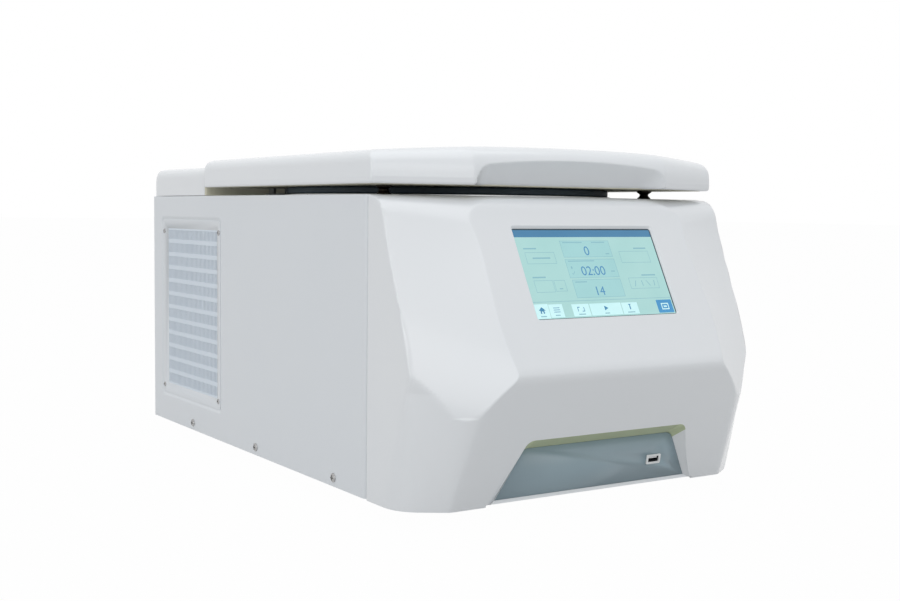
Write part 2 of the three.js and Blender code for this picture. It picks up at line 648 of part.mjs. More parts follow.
// The deck around the chamber, with a slot over each lock.
function topDeck() {
  const ring = Array.from({ length: roundSides }, (_, i) => {
    const angle = (i / roundSides) * 2 * Math.PI;
    const r = (bowlRadius + bowl.wall + 2 * coil.tube) / Math.cos(Math.PI / roundSides);
    return new THREE.Vector2(r * Math.cos(angle), chamberY + r * Math.sin(angle));
  });
  const slots = sides.map(([, s]) => rectangle(
    s * lockX - deck.slotWidth / 2, lock.y - deck.slotFront,
    s * lockX + deck.slotWidth / 2, lock.y + deck.slotBack, deck.slotRadius,
  ));
  const rear = rearInner - gap;
  return prism("z", rectangle(-innerHalf, 0, innerHalf, rear), deckUnder, cabinet.height, [ring, ...slots]);
}

function rearPanel() {
  const window = (part, extra) => {
    const [w, h] = [part.width / 2 - extra, part.tall / 2 - extra];
    return rectangle(part.x - w, part.height - h, part.x + w, part.height + h);
  };
  const slots = Array.from({ length: rearVent.slots }, (_, i) => {
    const z = rearVent.bottom + i * rearVent.pitch;
    const [x0, x1] = [rearVent.x - rearVent.width / 2, rearVent.x + rearVent.width / 2];
    return rectangle(x0, z, x1, z + rearVent.height);
  });
  const inletHole = rectangle(
    inlet.x - inlet.bodyWidth / 2 - gap, inlet.height - inlet.bodyTall / 2 - gap,
    inlet.x + inlet.bodyWidth / 2 + gap, inlet.height + inlet.bodyTall / 2 + gap,
  );
  return prism(
    "y", rectangle(-innerHalf, 0, innerHalf, deckUnder - gap), rearInner, cabinetDepth,
    [window(mains, mains.plate), inletHole, ...slots],
  );
}

// The bowl of the chamber: a deep drawn pan with a rim on the deck and a round hole for the drive.
function chamberBowl() {
  const rim = cabinet.height + gap;
  const [inner, outer] = [bowlRadius, bowlRadius + bowl.wall];
  const corner = (r, z, radius) => Array.from({ length: arcSteps + 1 }, (_, i) => {
    const angle = (i / arcSteps) * (Math.PI / 2);
    return [r - radius + radius * Math.cos(angle), z + radius - radius * Math.sin(angle)];
  });
  const inside = corner(inner, bowlFloor, bowl.floorRadius);
  const outside = corner(outer, bowlFloor - bowl.wall, bowl.floorRadius + bowl.wall).reverse();
  return turned([
    [inner, rim + bowl.wall],
    ...inside,
    [bowl.hub, bowlFloor],
    [bowl.hub, bowlFloor - bowl.wall],
    ...outside,
    [outer, rim],
    [bowlRadius + bowl.rim, rim],
    [bowlRadius + bowl.rim, rim + bowl.wall],
  ]);
}

// The lid seal: a hollow lipped ring that stands on the bowl's rim.
function chamberGasket() {
  const inner = bowlRadius + gasket.inset;
  const outer = inner + gasket.width;
  const bottom = cabinet.height + bowl.wall + 2 * gap;
  const top = lidBottom - gap;
  return turned([
    [inner, bottom],
    [outer, bottom],
    [outer, top - gasket.lip],
    [outer - gasket.lip, top],
    [inner, top],
    [inner, top - gasket.lip],
    [inner + gasket.wall, top - gasket.lip],
    [inner + gasket.wall, bottom + gasket.lip],
    [inner, bottom + gasket.lip],
  ]);
}

// The cooling tube: straight tails behind the bowl, and turns that climb round it.
const coilLow = bowlFloor + coil.rise;
const coilHigh = deckUnder - coil.headroom;
const coilTail = innerHalf - coil.tailInset;
const coilSag = 1 / Math.cos(Math.PI / coil.stepsPerTurn);
const coilRadius = (bowlRadius + bowl.wall + gap + coil.tube) * coilSag;

class CoilPath extends THREE.Curve {
  constructor() {
    super();
    this.arcLengthDivisions = coil.turns * coil.stepsPerTurn * 4;
    this.round = coil.turns * 2 * Math.PI * coilRadius;
    this.total = this.round + 2 * coilTail;
  }
  getPoint(t, target = new THREE.Vector3()) {
    const s = t * this.total - coilTail;
    const turn = THREE.MathUtils.clamp(s / this.round, 0, 1);
    const angle = Math.PI / 2 + turn * coil.turns * 2 * Math.PI;
    const straight = s < 0 ? s : Math.max(0, s - this.round);
    return target.set(
      coilRadius * Math.cos(angle) - straight,
      coilRadius * Math.sin(angle),
      lerp(coilLow, coilHigh, turn),
    );
  }
}

function evaporatorCoil() {
  const path = new CoilPath();
  const steps = Math.round((path.total / path.round) * coil.turns * coil.stepsPerTurn);
  return tube(path, coil.tube, coil.sides, steps);
}

const probeHeight = lerp(coilLow, coilHigh, probe.afterTurns / coil.turns);

// The foam round the bowl, with channels for the two tails, a hole for the temperature probe, and room for the
// lock housings wherever they come near.
function chamberInsulation() {
  const inner = (coilRadius + coil.tube + gap) / Math.cos(Math.PI / roundSides);
  const top = deckUnder - gap;
  const floor = bowlFloor - bowl.wall - gap;
  const foamRing = turned([
    [inner, top],
    [inner, floor],
    [insulation.neck, floor],
    [insulation.neck, floor - insulation.base],
    [foamRadius, floor - insulation.base],
    [foamRadius, top],
  ]);
  const width = coil.tube + insulation.channel;
  const lockRoom = lock.housingWidth / 2 + gap;
  const channel = (s, z) => {
    const [x0, x1] = [0, s * foamRadius].sort((a, b) => a - b);
    return block([x0, coilRadius - width, z - width], [x1, coilRadius + width, z + width]);
  };
  return cut(
    foamRing,
    channel(1, coilLow),
    channel(-1, coilHigh),
    ...sides.map(([, s]) => block(
      [s * lockX - lockRoom, lock.housingFront - chamberY, underDeck(lock.housingBottom) - gap],
      [s * lockX + lockRoom, lock.housingBack + gap - chamberY, top + overrun],
    )),
    rod("x", probe.radius + gap, bowlRadius, foamRadius + overrun, [0, probeHeight]),
  );
}

// The temperature probe, which lies in the foam between two turns of the coil, its tip at the bowl's wall.
function temperatureSensor() {
  const start = bowlRadius + bowl.wall + gap;
  const seat = foamRadius + gap;
  return join(
    rod("x", probe.radius, start, seat + probe.collarLength, [0, probeHeight]),
    rod("x", probe.collar, seat, seat + probe.collarLength, [0, probeHeight]),
  );
}

function driveMotor() {
  const ribs = Array.from({ length: motor.ribs }, (_, i) => {
    const rib = block(
      [motor.radius - motor.ribDepth, -motor.ribWidth / 2, motor.bottom + motor.capHeight],
      [motor.radius + motor.ribDepth, motor.ribWidth / 2, motorTop - motor.capHeight],
    );
    return rib.rotateZ((i / motor.ribs) * 2 * Math.PI);
  });
  const can = turned([
    [0, motor.bottom],
    [motor.capRadius, motor.bottom],
    [motor.radius, motor.bottom + motor.capHeight],
    [motor.radius, motorTop - motor.capHeight],
    [motor.capRadius, motorTop],
    [motor.neck, motorTop],
    [motor.neck, bowlFloor],
    [0, bowlFloor],
  ], midSides);
  return cut(join(can, ...ribs), rod("z", shaft.radius + gap, shaftBottom - gap, bowlFloor + overrun));
}

// The plate that carries the motor on three dampers.
const mountPlateLine = outline(Array.from({ length: damper.count }, (_, i) => {
  const angle = Math.PI / 2 + (i / damper.count) * 2 * Math.PI;
  const reach = mountPlate.reach / Math.cos(Math.PI / damper.count);
  return [reach * Math.cos(angle), reach * Math.sin(angle), mountPlate.corner * damper.count];
}));
const mountPlateTip = Math.max(...mountPlateLine.map((p) => p.x));

function motorMountPlate() {
  const top = motor.bottom - gap;
  return prism("z", mountPlateLine, top - mountPlate.thickness, top);
}

function vibrationDamper() {
  const [low, high] = [pan.plate + gap, motor.bottom - 2 * gap - mountPlate.thickness];
  return turned([
    [0, low],
    [damper.radius, low],
    [damper.waist, lerp(low, high, damper.waistShares[0])],
    [damper.waist, lerp(low, high, damper.waistShares[1])],
    [damper.radius, high],
    [0, high],
  ], smallSides);
}

// The soft ring that closes the bowl's floor round the drive.
function shaftSeal() {
  const low = bowlFloor + gap;
  return turned([
    [seal.inner, low],
    [seal.outer, low],
    [seal.outer, low + seal.lip],
    [seal.inner + seal.lip, low + seal.height],
    [seal.inner, low + seal.height],
  ], midSides);
}

function driveShaft() {
  return turned([
    [0, shaftBottom],
    [shaft.radius, shaftBottom],
    [shaft.radius, aboveFloor(shaft.shoulder)],
    [shaft.coneTopRadius, aboveFloor(shaft.coneTop)],
    [shaft.thread, aboveFloor(shaft.coneTop)],
    [shaft.thread, aboveFloor(shaft.top)],
    [0, aboveFloor(shaft.top)],
  ], smallSides);
}

// The rotor: a turned cone with leaning tube bores and a tapered bore for the shaft.
function rotorBody() {
  const seat = shaft.radius + gap;
  const blank = turned([
    [0, aboveFloor(rotor.bottom)],
    [rotorRadius - rotor.taper, aboveFloor(rotor.bottom)],
    [rotorRadius, aboveFloor(rotor.rim) - rotor.taper],
    [rotorRadius, aboveFloor(rotor.rim)],
    [rotorTopRadius, aboveFloor(rotor.top)],
    [rotor.wellRadius, aboveFloor(rotor.top)],
    [rotor.wellRadius, aboveFloor(rotor.well)],
    [0, aboveFloor(rotor.well)],
  ]);
  const bores = Array.from({ length: rotor.tubes }, (_, i) => {
    const bore = rod("z", rotor.tubeRadius, -rotor.tubeDepth, 2 * overrun);
    bore.rotateY(-rotor.tubeLean * degree).translate(rotorRadius - rotor.tubeInset, 0, aboveFloor(rotor.top));
    return bore.rotateZ((i / rotor.tubes) * 2 * Math.PI);
  });
  const cone = turned([
    [0, aboveFloor(rotor.bottom) - overrun],
    [seat, aboveFloor(rotor.bottom) - overrun],
    [seat, aboveFloor(shaft.shoulder)],
    [shaft.coneTopRadius + gap, aboveFloor(shaft.coneTop) + gap],
    [shaft.coneTopRadius + gap, aboveFloor(rotor.well) + overrun],
    [0, aboveFloor(rotor.well) + overrun],
  ], smallSides);
  return cut(blank, ...bores, cone);
}

// The rotor's lid: a shallow turned disc with a grip, whose stem screws down onto the shaft.
function rotorLidDisc() {
  const radius = rotorTopRadius - rotorLid.inset;
  const low = aboveFloor(rotor.top) + gap;
  const top = low + rotorLid.rise;
  return turned([
    [shaft.thread + gap, aboveFloor(rotor.well) + gap],
    [rotorLid.stem, aboveFloor(rotor.well) + gap],
    [rotorLid.stem, low],
    [radius, low],
    [radius, low + rotorLid.rise / 2],
    [radius - rotorLid.lip, top],
    [rotorLid.waist, top],
    [rotorLid.waist, top + rotorLid.waistHeight],
    [rotorLid.knobRadius, top + rotorLid.waistHeight + rotorLid.lip],
    [rotorLid.knobRadius, top + rotorLid.knobHeight - rotorLid.lip],
    [rotorLid.knobRadius - rotorLid.lip, top + rotorLid.knobHeight],
    [shaft.thread + gap, top + rotorLid.knobHeight],
  ], midSides);
}

// How far the lid's front stands back at a height: a lip that runs in below the crease to an upright rim, and a
// rounded brow.
function lidLip(z) {
  const run = lid.crease - lid.bottom - lid.rim;
  if (z < lidCrease) return lid.lip * Math.min(1, (lidCrease - z) / run);
  const rise = Math.min(Math.max(0, z - lidBrow), lid.browRadius);
  return lid.browRadius - Math.sqrt(lid.browRadius ** 2 - rise ** 2);
}

// The lid's full form: plan outlines from the bottom up, under a crown, and rounded about the hinge behind.
function lidForm(inset, bottom) {
  const side = lidHalf - inset;
  const rear = hingeY + hinge.openRadius - inset;
  const crownReach = lidHalf - lid.crownInset;
  const browLevels = Array.from({ length: lid.browSteps + 1 }, (_, i) => {
    return lidBrow + lid.browRadius * Math.sin((i / lid.browSteps) * (Math.PI / 2));
  });
  const levels = [bottom, lidBottom + lid.rim, lidCrease, ...browLevels];
  const sections = levels.map((z) => {
    const back = lidLip(z) + inset;
    const right = [
      [side, rear],
      [side, lid.shoulderY + back, lid.shoulderRadius],
      [lid.noseHalf, lid.noseY + back, lid.noseRadius],
    ];
    const nose = [0, lid.noseY - lid.bow + back];
    return outline([...right, nose, ...mirrored(right)]).map((p) => new THREE.Vector3(p.x, p.y, z));
  });
  const crown = Array.from({ length: lid.crownSteps + 1 }, (_, i) => {
    const x = lerp(-crownReach, crownReach, i / lid.crownSteps);
    return [x, lidTop - inset - lid.crownDrop * (x / crownReach) ** 2];
  });
  const sideTop = lidTop - inset - lid.crownDrop * (side / crownReach) ** 2;
  const frontView = outline([
    [side, bottom], [side, sideTop, lid.edgeRadius], ...crown.slice(1, -1).reverse(),
    [-side, sideTop, lid.edgeRadius], [-side, bottom],
  ]);
  const round = hinge.openRadius - inset;
  const top = pinZ + hinge.openRadius - inset;
  const arc = Array.from({ length: 2 * arcSteps + 1 }, (_, i) => {
    const angle = (i / (2 * arcSteps)) * (Math.PI / 2);
    return [hingeY + round * Math.sin(angle), pinZ + round * Math.cos(angle)];
  });
  const far = lid.noseY - lid.bow - overrun;
  const highest = Math.max(top, lidTop);
  const sideView = outline([
    [far, bottom], [far, highest], [hingeY - lid.browRadius, highest],
    ...arc, [rear, bottom, lid.rearRadius],
  ]);
  return meet(
    loft(sections),
    prism("y", frontView, far, rear + overrun),
    prism("x", sideView, -2 * lidHalf, 2 * lidHalf),
  );
}

// The finger scoop in the lid's front, widened by a wall's thickness where it shapes the inside of the shell.
function scoopCutter(wall) {
  const faceY = lid.noseY - lid.bow;
  const top = overDeck(scoop.top) + wall * Math.hypot(1, scoop.slope);
  const half = scoop.half + wall * Math.hypot(1, scoop.endSlope);
  const reach = (scoop.top - lid.bottom) / scoop.slope + 2 * overrun;
  const section = (y) => {
    const roof = top - scoop.slope * (y - faceY);
    const end = half - scoop.endSlope * (y - faceY);
    const arch = Array.from({ length: scoop.steps + 1 }, (_, i) => {
      const share = 1 - (2 * i) / scoop.steps;
      return [end * share, roof - scoop.arch * share ** 2, i % scoop.steps ? 0 : scoop.radius];
    });
    const floor = roof - top + overDeck(0) - overrun;
    return outline([[-end, floor], [end, floor], ...arch]).map((p) => new THREE.Vector3(p.x, y, p.y));
  };
  return loft([section(faceY - overrun), section(faceY + reach)]);
}

// What is taken off the lid's back edge: two notches round the hinge brackets, and between them a relief that
// lets the edge swing down past the seal.
function hingeRelief(notchTop, reliefTop) {
  const [near, far] = [bracketInner - bracket.notchMargin, bracketOuter + bracket.notchMargin];
  const notchY = hingeY - liner.notch;
  const back = hingeY + hinge.openRadius + overrun;
  const low = lidBottom - overrun;
  return [
    block([-far, hingeY + bracket.relief, low], [far, back, reliefTop]),
    block([near, notchY, low], [far, back, notchTop]),
    block([-far, notchY, low], [-near, back, notchTop]),
  ];
}

function lidShell() {
  const hollow = cut(lidForm(lid.wall, lidBottom - overrun), scoopCutter(lid.wall));
  const relief = hingeRelief(overDeck(bracket.notchHeight), overDeck(bracket.reliefHeight));
  return cut(lidForm(0, lidBottom), scoopCutter(0), hollow, ...relief);
}

// The flat inner panel of the lid, with a shallow dish over the chamber.
function lidLiner() {
  const top = lidBottom + liner.plate;
  const dish = bowlRadius - liner.dishInset;
  const plate = meet(
    lidForm(lid.wall + gap, lidBottom),
    block([-2 * lidHalf, lid.noseY - lid.bow, lidBottom], [2 * lidHalf, hingeY + 2 * lidHalf, top]),
  );
  return cut(
    plate,
    scoopCutter(lid.wall + gap),
    ...hingeRelief(top + overrun, top + overrun),
    rod("z", dish, lidBottom - overrun, lidBottom + liner.dishDepth, [0, chamberY], roundSides),
  );
}

// The striker pin under the lid.
function striker() {
  return turned([
    [0, underDeck(lock.tipBottom)],
    [lock.tip, underDeck(lock.tipBottom)],
    [lock.knob, underDeck(lock.knobBottom)],
    [lock.knob, underDeck(lock.neckBottom)],
    [lock.neck, underDeck(lock.neckBottom)],
    [lock.neck, underDeck(lock.neckTop)],
    [lock.shank, underDeck(lock.neckTop)],
    [lock.shank, deckUnder],
    [lock.flare, overDeck(lock.flareHeight)],
    [lock.waist, overDeck(lock.waistHeight)],
    [lock.headRadius, lidBottom - gap],
    [0, lidBottom - gap],
  ], smallSides);
}

// The lock's housing under the deck, with a well for the striker and a channel for the catch.
function latchHousing() {
  const top = deckUnder - gap;
  const half = lock.housingWidth / 2;
  const channelHalf = lock.catchWidth / 2 + gap;
  const middle = (underDeck(lock.neckTop) + underDeck(lock.neckBottom)) / 2;
  const well = rectangle(
    -deck.slotWidth / 2, lock.y - deck.slotFront, deck.slotWidth / 2, lock.y + deck.slotBack, deck.slotRadius,
  );
  return cut(
    block([-half, lock.housingFront, underDeck(lock.housingBottom)], [half, lock.housingBack, top]),
    prism("z", well, underDeck(lock.tipBottom) - gap * 2, top + overrun),
    block(
      [-channelHalf, lock.catchFront - gap, middle - lock.catchHeight / 2 - gap],
      [channelHalf, lock.catchBack + lock.travel + gap, middle + lock.catchHeight / 2 + gap],
    ),
  );
}

// The sliding catch: a plate whose fork closes round the striker's neck.
function latchCatch() {
  const half = lock.catchWidth / 2;
  const middle = (underDeck(lock.neckTop) + underDeck(lock.neckBottom)) / 2;
  const fork = outline([
    [-half, lock.catchFront], [half, lock.catchFront], [half, lock.catchBack],
    [lock.notch, lock.catchBack], [lock.notch, lock.catchBack - lock.notchDepth],
    [-lock.notch, lock.catchBack - lock.notchDepth], [-lock.notch, lock.catchBack], [-half, lock.catchBack],
  ]);
  return prism("z", fork, middle - lock.catchHeight / 2, middle + lock.catchHeight / 2);
}

// A hinge bracket: a foot on the deck and two ears round the pin.
function hingeBracket() {
  const bottom = cabinet.height + gap;
  const ear = (x) => join(
    block([x, hingeY - bracket.neck, bottom], [x + bracket.ear, hingeY + bracket.neck, pinZ]),
    rod("x", hinge.head, x, x + bracket.ear, [hingeY, pinZ]),
  );
  return cut(
    join(
      block(
        [bracketInner, hingeY - bracket.footFront, bottom],
        [bracketOuter, hingeY + bracket.footBack, bottom + bracket.foot],
      ),
      ear(bracketInner),
      ear(bracketOuter - bracket.ear),
    ),
    rod("x", hinge.pin + gap, bracketInner - overrun, bracketOuter + overrun, [hingeY, pinZ]),
  );
}

function hingePin() {
  const start = bracketInner - gap - pinHead.length;
  return join(
    rod("x", hinge.pin, start, bracketOuter + pinHead.length, [hingeY, pinZ]),
    rod("x", pinHead.radius, start, bracketInner - gap, [hingeY, pinZ]),
  );
}

// The lid's side of a hinge: a foot on the inner panel and a plate that turns on the pin.
const armStart = bracketInner + bracket.ear + gap;

function hingeArm() {
  const low = lidBottom + liner.plate + gap;
  const [front, back] = [hingeY - arm.footFront, hingeY - arm.footBack];
  const plate = outline([
    [front, low], [hingeY - arm.heel, low], [hingeY, pinZ - hinge.head], [hingeY, pinZ + hinge.head],
    [back, pinZ + hinge.pin, hinge.head], [front, low + 2 * arm.foot],
  ]);
  return cut(
    join(
      prism("x", plate, armStart, armStart + arm.thickness),
      rod("x", hinge.head, armStart, armStart + arm.thickness, [hingeY, pinZ]),
      block([armStart, front, low], [armStart + arm.footWidth, back, low + arm.foot]),
    ),
    rod("x", hinge.pin + gap, armStart - overrun, armStart + arm.footWidth, [hingeY, pinZ]),
  );
}

// The lid's torsion spring: turns round the pin and one leg that stands on the bracket's foot.
const springStart = armStart + arm.thickness + gap + spring.wire;
const springEnd = bracketOuter - bracket.ear - gap - spring.wire;
const springLeg = hinge.height - bracket.foot - 2 * gap;

class SpringPath extends THREE.Curve {
  constructor() {
    super();
    this.arcLengthDivisions = spring.turns * spring.stepsPerTurn * 4;
    this.round = spring.turns * 2 * Math.PI * spring.radius;
    this.total = this.round + springLeg;
  }
  getPoint(t, target = new THREE.Vector3()) {
    const s = t * this.total - springLeg;
    const turn = Math.max(0, s / this.round);
    const angle = turn * spring.turns * 2 * Math.PI;
    return target.set(
      lerp(springStart, springEnd, turn),
      hingeY - spring.radius * Math.cos(angle),
      pinZ + spring.radius * Math.sin(angle) + Math.min(0, s),
    );
  }
}

function torsionSpring() {
  const path = new SpringPath();
  const steps = Math.round((path.total / path.round) * spring.turns * spring.stepsPerTurn);
  return tube(path, spring.wire, spring.sides, steps);
}

// The fixed cover behind the lid: a shell with rounded edges, open below.
function rearCover() {
  const form = (inset, bottom) => {
    const [side, back, top] = [halfWidth - inset, cabinetDepth - inset, overDeck(cover.top) - inset];
    const front = coverFront + inset;
    const r = cover.edgeRadius - inset;
    const frontView = outline([[side, bottom], [side, top, r], [-side, top, r], [-side, bottom]]);
    return meet(
      prism("y", frontView, coverFront, cabinetDepth + overrun),
      prism("x", outline([
        [front, bottom], [back, bottom], [back, top, r], [front, top, cover.frontRadius - inset / 2],
      ]), -halfWidth - overrun, halfWidth + overrun),
      prism("z", outline([
        [-side, coverFront], [side, coverFront], [side, back, r], [-side, back, r],
      ]), bottom, overDeck(cover.top)),
    );
  };
  return cut(form(0, cabinet.height + gap), form(cover.wall, cabinet.height - overrun));
}

// The condenser against the left vent: a finned block with return bends at its ends.
const condenserX = -halfWidth + condenser.inset;

function condenserBlock() {
  const [y0, y1, z0, z1] = [opening.front, opening.rear, opening.bottom, opening.top];
  const inner = condenserX + condenser.thickness;
  const grooves = [];
  const groove = (x0, x1, y) => block([x0, y, z0 - overrun], [x1, y + condenser.finGap, z1 + overrun]);
  for (let y = y0 + condenser.finPitch; y < y1 - condenser.finGap; y += condenser.finPitch) {
    grooves.push(groove(condenserX - overrun, condenserX + condenser.finDepth, y));
    grooves.push(groove(inner - condenser.finDepth, inner + overrun, y));
  }
  const x = condenserX + condenser.thickness / 2;
  const pitch = (z1 - z0) / condenser.bends;
  const bends = Array.from({ length: condenser.bends }, (_, i) => {
    const z = z0 + (i + 1 / 2) * pitch;
    const r = pitch / 4;
    const bend = new THREE.QuadraticBezierCurve3(
      new THREE.Vector3(x, y0 + bite, z - r),
      new THREE.Vector3(x, y0 - 3 * condenser.tube, z),
      new THREE.Vector3(x, y0 + bite, z + r),
    );
    return tube(bend, condenser.tube, pipe.sides, condenser.bendSteps);
  });
  const foot = block([condenserX, y0, pan.plate + gap], [inner, y1, z0 + bite]);
  return join(cut(block([condenserX, y0, z0], [inner, y1, z1]), ...grooves), foot, ...bends);
}

const fanX = condenserX + condenser.thickness + gap;
const fanY = (opening.front + opening.rear) / 2;
const fanZ = (opening.bottom + opening.top) / 2;
const motorX = shroud.depth + gap;

// The fan's shroud, in its own frame: x away from the condenser, the fan's axis at y = z = 0.
function fanShroud() {
  const [h, v] = [(opening.rear - opening.front) / 2, (opening.top - opening.bottom) / 2];
  const plate = prism("x", rectangle(-h, -v, h, v, vent.radius), 0, shroud.plate);
  const ring = rod("x", shroud.ring + shroud.ringWall, 0, shroud.depth, [0, 0], midSides);
  const bore = rod("x", shroud.ring, -overrun, shroud.depth + overrun, [0, 0], midSides);
  const arms = Array.from({ length: shroud.arms }, (_, i) => {
    const strut = block(
      [shroud.depth - shroud.hubWall, -shroud.armWidth / 2, fanMotor.radius - shroud.armWidth],
      [shroud.depth, shroud.armWidth / 2, shroud.ring + shroud.ringWall / 2],
    );
    return strut.rotateX((i / shroud.arms) * 2 * Math.PI);
  });
  const hub = rod("x", fanMotor.radius, shroud.depth - shroud.hubWall, shroud.depth, [0, 0]);
  const through = rod("x", fanMotor.shaft + 2 * gap, 0, shroud.depth + overrun);
  return cut(join(cut(join(plate, ring), bore), hub, ...arms), through);
}

function condenserFan() {
  const end = fan.inset + fan.hubLength;
  const hub = turned([
    [0, fan.inset], [fan.hub, 2 * fan.inset], [fan.hub, end], [0, end],
  ], midSides).rotateY(Math.PI / 2);
  const blades = Array.from({ length: fan.blades }, (_, i) => {
    const blade = block(
      [-fan.chord / 2, -fan.blade / 2, fan.hub - fan.inset],
      [fan.chord / 2, fan.blade / 2, fan.radius],
    );
    blade.rotateZ(fan.pitch * degree).translate(fan.inset + fan.hubLength / 2, 0, 0);
    return blade.rotateX((i / fan.blades) * 2 * Math.PI);
  });
  const swept = rod("x", fan.radius, fan.inset / 2, end, [0, 0], roundSides);
  return cut(
    meet(join(hub, ...blades), swept),
    rod("x", fan.bore, fan.inset + fan.hubLength - fanMotor.shaftLength, end + overrun),
  );
}

function fanMotorCan() {
  return join(
    rod("x", fanMotor.radius, motorX, motorX + fanMotor.length, [0, 0], midSides),
    rod("x", fanMotor.shaft, fan.inset + fan.hubLength - fanMotor.shaftLength + gap, motorX + bite),
  );
}

// The sealed compressor: a domed can with a seam, a foot plate on grommets and a terminal box.
function compressorCan() {
  const { radius, base, bodyTop, crown, seam, seamWidth, seamProud } = compressor;
  const dome = Array.from({ length: arcSteps + 1 }, (_, i) => {
    const angle = (i / arcSteps) * (Math.PI / 2);
    return [radius * Math.cos(angle), bodyTop + (crown - bodyTop) * Math.sin(angle)];
  });
  dome[arcSteps][0] = 0;
  const can = turned([
    [0, base], [radius - base, base], [radius, 2 * base], [radius, seam],
    [radius + seamProud, seam], [radius + seamProud, seam + seamWidth], [radius, seam + seamWidth],
    ...dome,
  ], midSides);
  const [w, d] = [compressor.plateWidth / 2, compressor.plateDepth / 2];
  const low = pan.plate + gap;
  const inset = compressor.grommetInset;
  const plate = prism("z", rectangle(-w, -d, w, d, inset), base - compressor.plate, base + bite);
  const grommets = [[-1, -1], [1, -1], [1, 1], [-1, 1]].map(([sx, sy]) => {
    return rod("z", compressor.grommet, low, base, [sx * (w - inset), sy * (d - inset)]);
  });
  const box = block(
    [-radius - compressor.boxDepth, -compressor.box / 2, seam - compressor.boxHeight - bite],
    [-radius / 2, compressor.box / 2, seam - bite],
  );
  return join(can, plate, box, ...grommets);
}

// A refrigerant pipe through named places.
const pipeThrough = (points) => tube(
  new THREE.CatmullRomCurve3(points.map((p) => new THREE.Vector3(...p)), false, "centripetal"),
  pipe.radius, pipe.sides, pipe.steps,
);

// The suction pipe, from the coil's lower tail to the compressor's side.
function suctionPipe() {
  const startX = coilTail + gap;
  const y = chamberY + coilRadius;
  const endY = compressorY - compressor.radius - gap;
  const clear = 5 * pipe.radius;
  return pipeThrough([
    [startX, y, coilLow], [startX + clear / 2, y, coilLow], [startX + clear, y + clear, coilLow - clear / 2],
    [compressorX + clear / 2, endY - clear, compressor.seam + clear],
    [compressorX, endY - clear / 2, compressor.seam + clear], [compressorX, endY, compressor.seam + clear],
  ]);
}

// The discharge pipe, from the compressor's dome over to the top of the condenser.
function dischargePipe() {
  const top = opening.top - condenser.tube * 2;
  const clear = 5 * pipe.radius;
  const x = condenserX + condenser.thickness / 2;
  const endY = opening.rear + gap;
  return pipeThrough([
    [compressorX, compressorY, compressor.crown + gap],
    [compressorX, compressorY, compressor.crown + clear],
    [compressorX - clear, compressorY + clear / 2, top],
    [0, endY + clear, top],
    [x + 2 * clear, endY + clear, top],
    [x + clear / 4, endY + clear, top],
    [x, endY + clear / 2, top],
    [x, endY, top],
  ]);
}

// The liquid line: from the condenser's front through the drier to the coil's upper tail.
function filterDrier() {
  const drierLow = coilHigh - drier.bend - drier.drop - drier.length;
  const y = opening.front - drier.front;
  const x = condenserX + condenser.thickness / 2;
  const top = drierLow + drier.length;
  const bend = drier.bend;
  const coilY = chamberY + coilRadius;
  const inletZ = opening.top - (opening.top - opening.bottom) / condenser.bends;
  const line = pipeThrough([
    [-coilTail - gap, coilY, coilHigh], [-coilTail - bend, coilY, coilHigh], [drierX, y, coilHigh - bend],
    [drierX, y, top - bite],
  ]);
  const bulb = turned([
    [0, 0], [pipe.radius, 0], [drier.radius, drier.cone], [drier.radius, drier.length - drier.cone],
    [pipe.radius, drier.length], [0, drier.length],
  ], smallSides).translate(drierX, y, drierLow);
  const tail = pipeThrough([
    [drierX, y, drierLow + bite], [drierX, y, drierLow - bend / 2], [drierX - bend, y - bend, inletZ],
    [x + bend, y - 2 * bend, inletZ], [x, y - bend, inletZ], [x, opening.front - gap, inletZ],
  ]);
  return join(line, bulb, tail);
}

// The motor's inverter: a finned block on four posts, between the mount plate and the side panel.
const inverterEnd = innerHalf - inverter.sideInset;
const inverterWidth = inverterEnd - mountPlateTip - inverter.clearance;

function driveInverter() {
  const low = pan.plate + gap;
  const base = low + inverter.stand;
  const top = base + inverter.height;
  const [w, d] = [inverterWidth / 2, inverter.depth / 2];
  const pitch = inverterWidth / inverter.fins;
  const fins = Array.from({ length: inverter.fins }, (_, i) => {
    const x = -w + (i + 1 / 2) * pitch - inverter.fin / 2;
    return block([x, -d, top - bite], [x + inverter.fin, d, top + inverter.finHeight]);
  });
  const [postX, postY] = [w - inverter.post, d - inverter.post];
  const posts = [[-1, -1], [1, -1], [1, 1], [-1, 1]].map(([sx, sy]) => {
    return rod("z", inverter.post / 2, low, base + bite, [sx * postX, sy * postY]);
  });
  return join(block([-w, -d, base], [w, d, top]), ...fins, ...posts);
}

